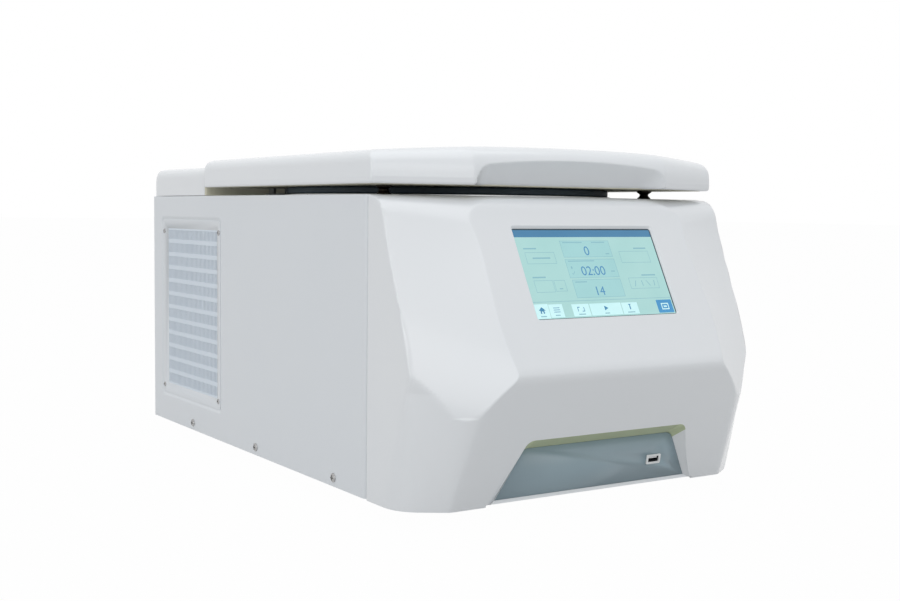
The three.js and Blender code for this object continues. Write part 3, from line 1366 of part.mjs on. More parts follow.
// The mains inlet, in its own frame: y out of the back of the machine from the rear panel's outer face.
function powerInlet() {
  const plate = rectangle(-inlet.width / 2, -inlet.tall / 2, inlet.width / 2, inlet.tall / 2, inlet.radius);
  const face = gap + inlet.plate;
  const well = outline([
    [-inlet.wellWidth / 2, -inlet.wellTall / 2], [inlet.wellWidth / 2, -inlet.wellTall / 2],
    [inlet.wellWidth / 2, inlet.wellTall / 2 - inlet.wellCorner],
    [inlet.wellWidth / 2 - inlet.wellCorner, inlet.wellTall / 2],
    [-inlet.wellWidth / 2 + inlet.wellCorner, inlet.wellTall / 2],
    [-inlet.wellWidth / 2, inlet.wellTall / 2 - inlet.wellCorner],
  ]);
  const floor = face - inlet.wellDepth;
  const pin = (x, z) => block(
    [x - inlet.pinWidth / 2, floor - bite, z - inlet.pinTall / 2],
    [x + inlet.pinWidth / 2, floor + inlet.pinLength, z + inlet.pinTall / 2],
  );
  const shell = cut(
    join(
      prism("y", plate, gap, face),
      block(
        [-inlet.bodyWidth / 2, face - inlet.bodyDepth, -inlet.bodyTall / 2],
        [inlet.bodyWidth / 2, gap + bite, inlet.bodyTall / 2],
      ),
    ),
    prism("y", well, floor, face + overrun),
  );
  return join(
    shell,
    pin(-inlet.pinPitch, -inlet.pinOffset / 2),
    pin(0, inlet.pinOffset / 2),
    pin(inlet.pinPitch, -inlet.pinOffset / 2),
  );
}

// The mains switch's frame, in its own frame, with a well for the rocker.
function mainsSwitchFrame() {
  const face = gap + mains.plate;
  const plate = rectangle(-mains.width / 2, -mains.tall / 2, mains.width / 2, mains.tall / 2, mains.radius);
  const [w, h] = [mains.width / 2 - mains.plate - gap, mains.tall / 2 - mains.plate - gap];
  const well = [mains.rockerWidth / 2 + gap, Math.hypot(mains.rockerTall, mains.shoulder) + gap];
  const reach = Math.hypot(mains.root, mains.rootHalf) + gap;
  return cut(
    join(
      prism("y", plate, gap, face),
      block([-w, face - mains.bodyDepth, -h], [w, gap + bite, h]),
    ),
    block([-well[0], mains.pivotDepth - reach, -well[1]], [well[0], face + overrun, well[1]]),
  );
}

// The rocker: a bar with two faces, which tips about its middle.
function mainsSwitchRocker() {
  const section = outline([
    [mains.shoulder, -mains.rockerTall], [mains.crest, 0], [mains.shoulder, mains.rockerTall],
    [-mains.root, mains.rootHalf], [-mains.root, -mains.rootHalf],
  ]);
  return prism("x", section, -mains.rockerWidth / 2, mains.rockerWidth / 2);
}

// The cabinet
piece(body, "base_pan", basePan(), zinc);
for (const [place, y] of [["front", foot.frontY], ["rear", cabinetDepth - foot.rearInset]]) {
  for (const [side, s] of sides) {
    const mesh = piece(body, `foot_${place}_${side}`, rubberFoot(), rubber);
    mesh.position.set(s * (halfWidth - foot.inset), y, 0);
  }
}
for (const [side, s] of sides) {
  piece(body, `${side}_side_panel`, sidePanel(s), paint);
  piece(body, `${side}_vent_grille`, ventGrille(s), paint);
}
piece(body, "rear_panel", rearPanel(), paint);
piece(body, "top_deck", topDeck(), paint);
piece(body, "rear_cover", rearCover(), whitePlastic);

// The front
piece(body, "front_fascia", frontFascia(), whitePlastic);
const screenGroup = new THREE.Group();
screenGroup.position.set(0, screenY, screenZ);
screenGroup.rotation.x = screenTilt;
body.add(screenGroup);
piece(screenGroup, "touch_screen", touchScreen(), glass);
piece(screenGroup, "display_housing", displayHousing(), darkPlastic);
piece(screenGroup, "control_board", controlBoard(), boardGreen);
piece(body, "lower_front_panel", lowerFrontPanel(), panelGrey);
const usbMesh = piece(body, "usb_port", usbPort(), whitePlastic);
usbMesh.position.set(usb.x, usbFaceY, usb.height);

// The chamber and the drive, on the upright axis
const chamber = new THREE.Group();
chamber.position.y = chamberY;
body.add(chamber);
piece(chamber, "chamber_bowl", chamberBowl(), stainless);
piece(chamber, "chamber_gasket", chamberGasket(), rubber);
piece(chamber, "evaporator_coil", evaporatorCoil(), copper);
piece(chamber, "chamber_insulation", chamberInsulation(), foam);
piece(chamber, "temperature_sensor", temperatureSensor(), stainless);
piece(chamber, "drive_motor", driveMotor(), aluminium);
piece(chamber, "motor_mount_plate", motorMountPlate(), zinc);
for (let i = 0; i < damper.count; i++) {
  const angle = Math.PI / 2 + (i / damper.count) * 2 * Math.PI;
  const mesh = piece(chamber, `vibration_damper_${i + 1}`, vibrationDamper(), rubber);
  mesh.position.set(damper.ring * Math.cos(angle), damper.ring * Math.sin(angle), 0);
}
piece(chamber, "shaft_seal", shaftSeal(), rubber);
piece(chamber, "drive_shaft", driveShaft(), stainless);
piece(chamber, "rotor_body", rotorBody(), aluminium);
piece(chamber, "rotor_lid", rotorLidDisc(), aluminium);

// The cooling circuit
piece(body, "condenser", condenserBlock(), aluminium);
const fanGroup = new THREE.Group();
fanGroup.position.set(fanX, fanY, fanZ);
body.add(fanGroup);
piece(fanGroup, "fan_shroud", fanShroud(), darkPlastic);
piece(fanGroup, "condenser_fan", condenserFan(), darkPlastic);
piece(fanGroup, "fan_motor", fanMotorCan(), enamelBlack);
const compressorMesh = piece(body, "compressor", compressorCan(), enamelBlack);
compressorMesh.position.set(compressorX, compressorY, 0);
piece(body, "suction_pipe", suctionPipe(), copper);
piece(body, "discharge_pipe", dischargePipe(), copper);
piece(body, "filter_drier", filterDrier(), copper);

// The electrics
const inverterMesh = piece(body, "drive_inverter", driveInverter(), aluminium);
inverterMesh.position.set(inverterEnd - inverterWidth / 2, inverter.y, 0);
const inletMesh = piece(body, "power_inlet", powerInlet(), darkPlastic);
inletMesh.position.set(inlet.x, cabinetDepth, inlet.height);
const frameMesh = piece(body, "mains_switch_frame", mainsSwitchFrame(), darkPlastic);
frameMesh.position.set(mains.x, cabinetDepth, mains.height);
const rockerMesh = piece(body, "mains_switch_rocker", mainsSwitchRocker(), darkPlastic);
rockerMesh.position.set(mains.x, cabinetDepth + mains.pivotDepth, mains.height);
rockerMesh.rotation.x = -mains.tilt * degree;

// The lid and its two hinges and locks
piece(body, "lid_shell", lidShell(), whitePlastic);
piece(body, "lid_liner", lidLiner(), paint);
for (const [side, s] of sides) {
  const pin = piece(body, `striker_${side}`, striker(), stainless);
  pin.position.set(s * lockX, lock.y, 0);
  const lockGroup = new THREE.Group();
  lockGroup.position.x = s * lockX;
  body.add(lockGroup);
  piece(lockGroup, `latch_housing_${side}`, latchHousing(), darkPlastic);
  piece(lockGroup, `latch_catch_${side}`, latchCatch(), zinc);
  const hingeGroup = new THREE.Group();
  hingeGroup.scale.x = s;
  body.add(hingeGroup);
  piece(hingeGroup, `hinge_bracket_${side}`, hingeBracket(), zinc);
  piece(hingeGroup, `hinge_pin_${side}`, hingePin(), stainless);
  piece(hingeGroup, `hinge_arm_${side}`, hingeArm(), zinc);
  piece(hingeGroup, `torsion_spring_${side}`, torsionSpring(), zinc);
}

// The origin goes on the bench, under the middle of the machine.
const box = new THREE.Box3().setFromObject(body, true);
const middle = box.getCenter(new THREE.Vector3());
body.position.set(-middle.x, -middle.y, -box.min.z);

export default machine;
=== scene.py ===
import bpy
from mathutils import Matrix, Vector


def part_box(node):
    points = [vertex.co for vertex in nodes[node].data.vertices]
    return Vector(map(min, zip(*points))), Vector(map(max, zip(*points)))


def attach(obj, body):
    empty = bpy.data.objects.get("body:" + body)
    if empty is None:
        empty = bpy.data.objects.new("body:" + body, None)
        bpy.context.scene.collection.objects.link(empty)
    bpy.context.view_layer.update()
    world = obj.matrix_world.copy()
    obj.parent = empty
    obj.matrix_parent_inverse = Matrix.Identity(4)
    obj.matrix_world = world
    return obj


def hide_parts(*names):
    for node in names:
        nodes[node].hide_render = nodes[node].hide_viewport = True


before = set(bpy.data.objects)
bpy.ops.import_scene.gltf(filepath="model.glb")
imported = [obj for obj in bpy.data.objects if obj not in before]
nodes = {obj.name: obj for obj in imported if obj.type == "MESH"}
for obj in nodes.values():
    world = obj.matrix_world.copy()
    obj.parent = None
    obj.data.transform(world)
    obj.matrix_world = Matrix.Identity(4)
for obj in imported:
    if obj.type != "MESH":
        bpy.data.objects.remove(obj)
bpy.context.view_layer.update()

# %% [markdown]
# # A refrigerated benchtop centrifuge
# This lesson dresses a finished CAD model of a laboratory centrifuge. The CAD model gives every size and
# every moving body, so nothing is placed by eye. Each cell makes one thing: first the camera and the light,
# then the finishes, then the pieces whose shape deserves more than flat facets.

# %% The tools of the lesson
from fnmatch import fnmatch
import math

import bmesh
import bpy
import numpy as np
from mathutils import Matrix, Vector

# %% [markdown]
# ## One set of coordinates
# A maker measures this machine from the seam between the front housing and the side panels, and up from the
# lower edge of the sheet metal. The lesson does the same, in millimetres, and turns them into Blender's
# metres in one place. The two zero lines are read from the CAD model's side panel, not typed in.

# %% Machine millimetres to scene metres, and things into the scene
seam_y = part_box("left_side_panel")[0].y
sheet_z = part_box("left_side_panel")[0].z


def place(points):
    """Machine millimetres, as rows of x, y, z, to scene metres."""
    rows = np.asarray(points, float).reshape(-1, 3) / 1000
    return rows + np.array([0, seam_y, sheet_z])


def put_in_scene(name, data):
    """An object with this name and this mesh, lamp, text or camera."""
    thing = bpy.data.objects.new(name, data)
    bpy.context.scene.collection.objects.link(thing)
    return thing


print("seam at y", round(seam_y * 1000, 2), "mm, sheet edge at z", round(sheet_z * 1000, 2), "mm")

# %% [markdown]
# ## The camera
# The photograph was taken from the front left corner, a little above the lid, with a normal lens. Its place
# was worked out from the cabinet's straight edges, whose real lengths are known. A camera that looks along
# its own minus Z axis is set by three directions, so the matrix is built from them: right, up and back.

# %% The camera where the photographer stood
camera_at = place([(-746.19, -974.54, 260.43)])[0]
turn_right, look_down, roll = math.radians(33.05), math.radians(-4.09), math.radians(0.62)
forward = Vector((math.sin(turn_right) * math.cos(look_down), math.cos(turn_right) * math.cos(look_down),
                  math.sin(look_down)))
level = Vector((math.cos(turn_right), -math.sin(turn_right), 0))
above = level.cross(forward)
right = math.cos(roll) * level + math.sin(roll) * above
up = -math.sin(roll) * level + math.cos(roll) * above

camera_data = bpy.data.cameras.new("photographer")
camera_data.sensor_width, camera_data.lens = 36, 50.237
camera_data.clip_start, camera_data.clip_end = 0.05, 60
camera = put_in_scene("photographer", camera_data)
camera.matrix_world = Matrix((
    (right.x, up.x, -forward.x, camera_at[0]),
    (right.y, up.y, -forward.y, camera_at[1]),
    (right.z, up.z, -forward.z, camera_at[2]),
    (0, 0, 0, 1),
))
bpy.context.scene.camera = camera
print("the camera stands", round(float(np.hypot(*camera_at[:2])), 2), "m away")

# %% [markdown]
# ## Recipes for finishes
# A material is a small graph. One function adds a node, sets what is set on it and links what flows into
# it, so that each finish below reads as a short recipe. Colours are written as sRGB hex, the way a paint
# chart is read on a screen, and one function turns them into the linear light that the shader counts in.
# Most finishes are two near tones in soft clouds with a fine relief over them, and both patterns have a
# real size in metres.

# %% Helpers for finishes
def linear(hex_colour):
    """An sRGB hex colour as linear RGBA."""
    parts = [int(hex_colour[i:i + 2], 16) / 255 for i in (1, 3, 5)]
    return tuple(c / 12.92 if c <= 0.04045 else ((c + 0.055) / 1.055) ** 2.4 for c in parts) + (1.0,)


def add_node(tree, kind, inputs=None, **settings):
    """A node of this kind, with its settings, and with each input linked or given its value."""
    made = tree.nodes.new(kind)
    for name, value in settings.items():
        setattr(made, name, value)
    for name, value in (inputs or {}).items():
        if isinstance(value, bpy.types.NodeSocket):
            tree.links.new(value, made.inputs[name])
        else:
            made.inputs[name].default_value = value
    return made


def new_finish(name, **sockets):
    """A material with one Principled shader, and the machine's own coordinates to draw patterns in."""
    material = bpy.data.materials.new(name)
    material.use_nodes = True
    tree = material.node_tree
    shader = tree.nodes["Principled BSDF"]
    for socket, value in sockets.items():
        shader.inputs[socket.replace("_", " ")].default_value = value
    where = add_node(tree, "ShaderNodeTexCoord").outputs["Object"]
    return material, tree, shader, where


def noise(tree, where, size, detail):
    """Noise with bumps of about this size."""
    inputs = {"Vector": where, "Scale": 1 / size, "Detail": detail}
    return add_node(tree, "ShaderNodeTexNoise", inputs).outputs["Fac"]


def tones(tree, share, dark, light):
    """Two colours mixed by a share."""
    inputs = {"Factor": share, 6: linear(dark), 7: linear(light)}
    return add_node(tree, "ShaderNodeMix", inputs, data_type="RGBA").outputs[2]


def grained(name, dark, light, grain, height, rough, ior, strength=0.5, grain_detail=2.0, cloud=0.02,
            cloud_detail=3.0, **sockets):
    """A paint, plastic or rubber: two near tones in clouds, and a grain of this size and height."""
    material, tree, shader, where = new_finish(name, Roughness=rough, IOR=ior, **sockets)
    tone = tones(tree, noise(tree, where, cloud, cloud_detail), dark, light)
    relief = add_node(tree, "ShaderNodeBump", {"Height": noise(tree, where, grain, grain_detail),
                                               "Strength": strength, "Distance": height})
    tree.links.new(tone, shader.inputs["Base Color"])
    tree.links.new(relief.outputs[0], shader.inputs["Normal"])
    return material


print("white paint in linear light:", [round(c, 3) for c in linear("#e9ecef")])

# %% [markdown]
# ## Floor, backdrop and light
# The photograph is a studio picture on pure white. A floor that is lit until it turns white would burn the
# machine too, so the whiteness comes from the floor's material: rays from the camera, and rays mirrored or
# passed on by a shiny or clear surface, see mostly a plain glow of 1, mixed with a little of the floor's
# real shading, which keeps the machine's soft shadow. All other rays see a plain matt white floor that
# throws light up under the machine, as the studio table did.

# %% The white floor
def white_for_the_camera(tree):
    """1 for rays that see the background: the camera's, and those that gloss or glass sends on."""
    rays = add_node(tree, "ShaderNodeLightPath").outputs
    mirrored = add_node(tree, "ShaderNodeMath", {0: rays["Is Camera Ray"], 1: rays["Is Glossy Ray"]},
                        operation="MAXIMUM")
    passed = add_node(tree, "ShaderNodeMath", {0: mirrored.outputs[0], 1: rays["Is Transmission Ray"]},
                      operation="MAXIMUM")
    return passed.outputs[0]


glow_share = 0.986
floor_material = bpy.data.materials.new("matt_white_table")
floor_material.use_nodes = True
tree = floor_material.node_tree
tree.nodes.clear()
where = add_node(tree, "ShaderNodeTexCoord").outputs["Object"]
matt_colour = tones(tree, noise(tree, where, 0.025, 3.0), "#b4b4b3", "#bababa")
matt = add_node(tree, "ShaderNodeBsdfDiffuse", {"Color": matt_colour}).outputs[0]
glow = add_node(tree, "ShaderNodeEmission", {"Color": (1, 1, 1, 1), "Strength": 1.0}).outputs[0]
mostly_glow = add_node(tree, "ShaderNodeMixShader", {0: glow_share, 1: matt, 2: glow}).outputs[0]
seen = add_node(tree, "ShaderNodeMixShader", {0: white_for_the_camera(tree), 1: matt, 2: mostly_glow})
add_node(tree, "ShaderNodeOutputMaterial", {"Surface": seen.outputs[0]})

floor_mesh = bpy.data.meshes.new("studio_floor")
floor_mesh.from_pydata([(-30, -30, 0), (30, -30, 0), (30, 30, 0), (-30, 30, 0)], [], [(0, 1, 2, 3)])
floor_mesh.materials.append(floor_material)
floor = put_in_scene("studio_floor", floor_mesh)
print("the floor is", round(floor.dimensions.x), "m wide")

# %% [markdown]
# ## The room and its lamps
# The room is a light tent: a plain white world at moderate strength gives light from all sides. One very
# large soft lamp overhead makes the lid the brightest face, and a large lamp in front lights the front
# housing more than the side. A smaller lamp at the left fills the side. The fourth stands low and level
# with the machine, where every upright rounded edge mirrors it as a thin bright line.

# %% The tent and four soft lamps
bpy.context.scene.view_settings.view_transform = "Standard"
world = bpy.data.worlds.new("light_tent")
bpy.context.scene.world = world
world.use_nodes = True
tree = world.node_tree
tree.nodes.clear()
tent = add_node(tree, "ShaderNodeBackground", {"Color": linear("#f6f9fc"), "Strength": 0.61})
white = add_node(tree, "ShaderNodeBackground", {"Color": (1, 1, 1, 1), "Strength": 1.0})
chosen = add_node(tree, "ShaderNodeMixShader", {0: white_for_the_camera(tree), 1: tent.outputs[0],
                                                2: white.outputs[0]})
add_node(tree, "ShaderNodeOutputWorld", {"Surface": chosen.outputs[0]})


def soft_lamp(name, at, aim, width, height, watts):
    """A rectangular lamp at a place, in metres, that faces another."""
    data = bpy.data.lights.new(name, "AREA")
    data.shape, data.size, data.size_y, data.energy = "RECTANGLE", width, height, watts
    lamp = put_in_scene(name, data)
    lamp.location = at
    lamp.rotation_euler = (Vector(aim) - Vector(at)).to_track_quat("-Z", "Y").to_euler()


soft_lamp("overhead_softbox", (-0.2, -0.3, 2.6), (0, 0, 0.2), 3.0, 3.0, 21)
soft_lamp("front_softbox", (-0.9, -2.8, 1.0), (0, -0.1, 0.2), 2.6, 1.6, 15.6)
soft_lamp("side_softbox", (-2.6, -0.6, 1.0), (0, 0.1, 0.2), 0.6, 0.8, 5.4)
soft_lamp("edge_softbox", (-2.4, -0.1, 0.3), (0, 0.1, 0.2), 0.35, 0.6, 3.0)

# %% [markdown]
# ## Finish: powder-coated sheet steel
# The side panels, the deck and the rear panel are folded steel sheet. Powder paint is sprayed on dry and
# baked, and it flows into a fine ripple that painters call orange peel, with waves about 2 mm long and a
# few hundredths of a millimetre high. It gives a satin sheet whose highlights are soft and very slightly
# broken.

# %% Powder-coated steel
powder_coat = grained("powder_coated_steel", "#e2e6ea", "#e6e9ec", 0.0022, 0.00006, 0.32, 1.5,
                      strength=0.35, cloud=0.12, cloud_detail=2.0)

# %% [markdown]
# ## Finish: painted structural moulding
# The front housing, the lid and the rear cover are thick plastic mouldings. The mould leaves a fine even
# grain of about half a millimetre, which is too fine to show in a picture of the whole machine, so it is
# drawn 0.9 mm coarse here. Over it lies a coat of satin paint, which spreads every highlight into a broad
# soft band.

# %% Painted moulding
moulding = grained("painted_structural_moulding", "#e6e9ec", "#eaecee", 0.0009, 0.00004, 0.32, 1.5,
                   strength=0.3, cloud=0.16, cloud_detail=1.0, Coat_Weight=0.55, Coat_Roughness=0.14)

# %% [markdown]
# ## Finish: blue-grey panel
# The panel low in the front is a separate moulding, dyed blue-grey and lightly polished. Light falls on it
# from below and in front, so it looks darker towards its top, where the recess shades it. Only a slight
# cloudiness belongs to the plastic itself.

# %% Dyed polycarbonate panel
dyed_panel = grained("dyed_polycarbonate", "#90a4ad", "#97abb4", 0.0008, 0.00003, 0.32, 1.58,
                     strength=0.2, grain_detail=1.0, cloud=0.05, cloud_detail=2.0)

# %% [markdown]
# ## Finishes: small plastics, rubber, enamels and painted shade
# Black ABS housings come from an etched mould and look slightly grainy. The data socket's frame is glossier
# white ABS. The lid seal is extruded nitrile rubber with a bluish bloom, and the feet are moulded rubber:
# both scatter light widely, so their roughness is high. Three colours paint shade: a bluer white on the
# vents' ribs for the cool shade between them, a cream on the lid's liner and the foot of the rear cover for
# the warm shade under the lid, and an olive grey on the ceiling of the low recess.

# %% ABS, rubbers, enamels, painted shades, foam and the circuit board
black_abs = grained("etched_black_abs", "#25282c", "#2e3236", 0.0006, 0.00008, 0.5, 1.53)
white_abs = grained("polished_white_abs", "#eceeee", "#f2f3f3", 0.0006, 0.00002, 0.28, 1.53)
seal_rubber = grained("extruded_nitrile_rubber", "#2f3e48", "#3b4b55", 0.0009, 0.0001, 0.62, 1.52)
foot_rubber = grained("moulded_foot_rubber", "#1d1f21", "#27292b", 0.001, 0.00012, 0.8, 1.5)
enamel = grained("black_stove_enamel", "#17191b", "#202326", 0.003, 0.00006, 0.25, 1.55)
# the next three colours are painted shade: the recess's ceiling, the vent's ribs and under the lid
olive_painted_shade = grained("olive_grey_painted_shade", "#b9c4a0", "#bfc9a6", 0.001, 0.00002, 0.5, 1.5)
vent_painted_shade = grained("pale_blue_vent_painted_shade", "#dfe9f3", "#e6eef6", 0.002, 0.00003, 0.5, 1.5)
cream_painted_shade = grained("cream_painted_shade", "#d3cfb9", "#dad7c3", 0.002, 0.00003, 0.45, 1.5)
foam = grained("rigid_polyurethane_foam", "#cfbd8e", "#e0d0a4", 0.0016, 0.0006, 0.95, 1.4)
board_green = grained("glass_epoxy_board", "#1c6040", "#267350", 0.0015, 0.00004, 0.4, 1.55)
print("plastics and rubbers:", [m.name for m in (black_abs, white_abs, seal_rubber, foot_rubber)])

# %% [markdown]
# ## Finishes: metals
# A metal is all reflection, so its look is in its roughness. Stainless steel for the bowl is brushed: fine
# scratches about 0.2 mm apart, drawn 0.6 mm here, run round it and stretch every highlight. The rotor is
# turned from aluminium and anodised, which greys it. Zinc-plated brackets have blotchy crystals a few
# millimetres across, and copper tube is drawn smooth and browned by the air. The metals keep the shader's
# own IOR.

# %% Brushed, anodised, plated and drawn metals
def worked_metal(name, dark, light, stretch, size, rough_low, rough_high, height):
    """A metal whose marks are a real size in metres, pulled long by a stretch along x, y and z."""
    material, tree, shader, where = new_finish(name, Metallic=1.0)
    pulled = add_node(tree, "ShaderNodeMapping", {"Vector": where, "Scale": stretch})
    marks = noise(tree, pulled.outputs[0], size, 4.0)
    rough = add_node(tree, "ShaderNodeMapRange", {"Value": marks, "To Min": rough_low, "To Max": rough_high})
    relief = add_node(tree, "ShaderNodeBump", {"Height": marks, "Strength": 0.3, "Distance": height})
    tree.links.new(tones(tree, marks, dark, light), shader.inputs["Base Color"])
    tree.links.new(rough.outputs[0], shader.inputs["Roughness"])
    tree.links.new(relief.outputs[0], shader.inputs["Normal"])
    return material


stainless = worked_metal("brushed_stainless_steel", "#b4b7b9", "#cfd1d2", (0.06, 0.06, 1), 0.0006,
                         0.22, 0.38, 0.00002)
anodised = worked_metal("anodised_aluminium", "#9fa3a7", "#b3b6b9", (0.1, 0.1, 1), 0.0005, 0.34, 0.46,
                        0.00001)
cast_aluminium = worked_metal("cast_aluminium", "#a9acaf", "#bfc2c4", (1, 1, 1), 0.0012, 0.42, 0.58,
                              0.00008)
zinc_plate = worked_metal("zinc_plated_steel", "#a3a6a7", "#bcbfc0", (1, 1, 1), 0.004, 0.3, 0.5, 0.00001)
drawn_copper = worked_metal("drawn_copper", "#a9653f", "#c98a5c", (1, 1, 1), 0.006, 0.24, 0.42, 0.00002)
screw_steel = worked_metal("nickel_plated_screw", "#8f8f90", "#b5b5b4", (1, 1, 1), 0.0015, 0.2, 0.34,
                           0.00001)
print("metals:", [m.name for m in (stainless, anodised, cast_aluminium, zinc_plate, drawn_copper)])

# %% [markdown]
# ## Dressing the CAD model
# Most pieces already have their true shape, so they only get a finish. Turned and rolled pieces are rounder
# in life than their CAD facets: the glTF file splits their corners, so a Weld modifier joins them again,
# and on the folded and boxy pieces a small Bevel breaks every hard edge the way a press or a mould does. The
# mesh of a CAD node itself is untouched.

# %% A finish for every CAD node
def cad_nodes(patterns):
    """The CAD nodes whose names match one of these patterns."""
    return [thing for name, thing in nodes.items() if any(fnmatch(name, p) for p in patterns.split())]


finishes = {
    powder_coat: "*_side_panel *_vent_grille rear_panel top_deck",
    # the lid's liner is cream as a painted warm shade under the lid
    cream_painted_shade: "lid_liner",
    moulding: "front_fascia lid_shell rear_cover",
    dyed_panel: "lower_front_panel",
    black_abs: "display_housing fan_shroud condenser_fan latch_housing_* power_inlet mains_switch_*",
    white_abs: "usb_port",
    seal_rubber: "chamber_gasket shaft_seal",
    foot_rubber: "foot_* vibration_damper_*",
    enamel: "compressor fan_motor",
    foam: "chamber_insulation",
    board_green: "control_board",
    stainless: "chamber_bowl temperature_sensor drive_shaft striker_* hinge_pin_*",
    anodised: "rotor_body rotor_lid",
    cast_aluminium: "drive_motor condenser drive_inverter",
    zinc_plate: "base_pan motor_mount_plate latch_catch_* hinge_bracket_* hinge_arm_* torsion_spring_*",
    drawn_copper: "evaporator_coil suction_pipe discharge_pipe filter_drier",
}
for material, patterns in finishes.items():
    for thing in cad_nodes(patterns):
        thing.data.materials.clear()
        thing.data.materials.append(material)
dressed = cad_nodes(" ".join(finishes.values()) + " touch_screen")
print(len(nodes), "nodes, without a finish:", [name for name, thing in nodes.items() if thing not in dressed])

# %% Rounder turnings and broken edges
for thing in nodes.values():
    thing.data.shade_smooth()
    thing.data.set_sharp_from_angle(angle=math.radians(32))
    weld = thing.modifiers.new("joined_corners", "WELD")
    weld.merge_threshold = 0.00001
folded = cad_nodes("*_side_panel top_deck lid_liner rear_panel base_pan latch_housing_* hinge_bracket_* "
                   "power_inlet mains_switch_* drive_inverter")
for thing in folded:
    bevel = thing.modifiers.new("broken_edges", "BEVEL")
    bevel.width, bevel.segments = 0.0006, 3
    bevel.limit_method, bevel.angle_limit = "ANGLE", math.radians(40)
    bevel.harden_normals = True
print(len(folded), "nodes have broken edges")

# %% [markdown]
# ## Soft forms from hard planes
# A moulded housing is drawn by its designer as a few large planes, and every edge between two of them is
# then rounded. The same can be said in numbers: how far a point lies outside each plane, the largest of
# these distances, and a rounding where two are nearly equal. For an edge that turns by an angle, a rounding
# of radius R needs a blend of R times one minus the cosine of that angle. Lines drawn from inside the form
# through rough points meet its skin where the distance is nought, and that gives a mesh as fine as one
# likes. Such a mesh has no pinched corners, which a Bevel modifier would leave where three different radii
# meet.

# %% Distances, roundings and the skin of a form
def round_over(a, b, blend):
    """The larger of two distances, rounded where they are nearly equal."""
    near = np.maximum(blend - np.abs(a - b), 0) / blend
    return np.maximum(a, b) + near * near * blend / 4


def between(a, b, share):
    return a + (b - a) * share


def skin_along_lines(form, starts, through):
    """Where lines from inside the form, through rough points near its skin, leave it."""
    farthest, halvings = 1.8, 36
    near, far = np.zeros(through.shape[:-1]), np.full(through.shape[:-1], farthest)
    for _ in range(halvings):
        middle = (near + far) / 2
        x, y, z = np.moveaxis(starts + (through - starts) * middle[..., None], -1, 0)
        outside = form(x, y, z) > 0
        near, far = np.where(outside, near, middle), np.where(outside, middle, far)
    return starts + (through - starts) * near[..., None]


def outline(corners, steps=8):
    """A closed outline through corners given as (across, up, radius)."""
    points = []
    for i, (a, b, radius) in enumerate(corners):
        here = Vector((a, b))
        back = Vector(corners[i - 1][:2]) - here
        on = Vector(corners[(i + 1) % len(corners)][:2]) - here
        if radius <= 0:
            points.append(tuple(here))
            continue
        half = back.angle(on) / 2
        radius = min(radius, min(back.length, on.length) / 2 * math.tan(half))
        back, on = back.normalized(), on.normalized()
        centre = here + (back + on).normalized() * radius / math.sin(half)
        first = here + back * radius / math.tan(half) - centre
        last = here + on * radius / math.tan(half) - centre
        turn = first.angle_signed(last)
        for k in range(steps + 1):
            arm = first.copy()
            arm.rotate(Matrix.Rotation(-turn * k / steps, 2))
            points.append(tuple(centre + arm))
    return points


def rectangle(x0, y0, x1, y1, radius=0.0):
    return outline([(x0, y0, radius), (x1, y0, radius), (x1, y1, radius), (x0, y1, radius)])


print("a rounded square has", len(rectangle(0, 0, 10, 10, 2)), "points")

# %% [markdown]
# ## From numbers to pieces
# Every piece is made the same way: corners and faces go into a mesh, the mesh rides on its CAD body, and
# the CAD node that it stands for is hidden. Modifiers are worked out at once, so that what follows sees the
# finished mesh.

# %% Making a piece, settling its modifiers and cutting it
def mesh_of(name, corners, faces):
    """A mesh from corners in metres."""
    mesh = bpy.data.meshes.new(name)
    mesh.from_pydata([tuple(p) for p in corners], [], [tuple(f) for f in faces])
    return mesh


def new_piece(name, corners, faces, material, slot, body="cabinet", stands_for=()):
    """A mesh piece from machine millimetres, on its body; its slot is not used."""
    thing = put_in_scene(name, mesh_of(name, place(corners), faces))
    thing.data.materials.append(material)
    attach(thing, body)
    if stands_for:
        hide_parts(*stands_for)
    return thing


def facing_out(thing):
    """Turns all faces outwards and shades them smooth, with edges over 35 degrees kept sharp."""
    mesh = bmesh.new()
    mesh.from_mesh(thing.data)
    bmesh.ops.recalc_face_normals(mesh, faces=mesh.faces)
    mesh.to_mesh(thing.data)
    mesh.free()
    thing.data.shade_smooth()
    thing.data.set_sharp_from_angle(angle=math.radians(35))


def solid_piece(*what, **more):
    """A closed piece whose faces look outwards."""
    thing = new_piece(*what, **more)
    facing_out(thing)
    return thing


def settle(thing):
    """Works out the modifiers and keeps their result as the mesh."""
    done = thing.evaluated_get(bpy.context.evaluated_depsgraph_get())
    mesh = bpy.data.meshes.new_from_object(done)
    thing.modifiers.clear()
    thing.data = mesh


def thicken(thing, wall):
    """Gives an open skin a wall on its inner side, in millimetres."""
    sheet = thing.modifiers.new("wall", "SOLIDIFY")
    sheet.thickness, sheet.offset = wall / 1000, -1
    settle(thing)


def combine(thing, mesh, operation="DIFFERENCE"):
    """Takes a closed mesh off a piece, or adds it to it."""
    tool = put_in_scene("cutter", mesh)
    facing_out(tool)
    work = thing.modifiers.new("carved", "BOOLEAN")
    work.operation, work.solver, work.object = operation, "EXACT", tool
    settle(thing)
    bpy.data.objects.remove(tool)


def carve(thing, *cutters, operation="DIFFERENCE"):
    """The same with cutters given as (corners, faces) in machine millimetres."""
    for corners, faces in cutters:
        combine(thing, mesh_of("cutter", place(corners), faces), operation)


print("the model has", len(nodes), "nodes that pieces can stand for")


# %% Grids of faces, closed bodies and boxes
def quads(rows, columns, closed=False, looped=False):
    """The faces of a grid of corners; closed joins its last column to the first, looped its last row."""
    return [(r * columns + c, r * columns + (c + 1) % columns, (r + 1) % rows * columns + (c + 1) % columns,
             (r + 1) % rows * columns + c)
            for r in range(rows if looped else rows - 1) for c in range(columns if closed else columns - 1)]


def last_row(rows, columns):
    """One face over the last row of a grid of corners."""
    return [tuple(range((rows - 1) * columns, rows * columns))]


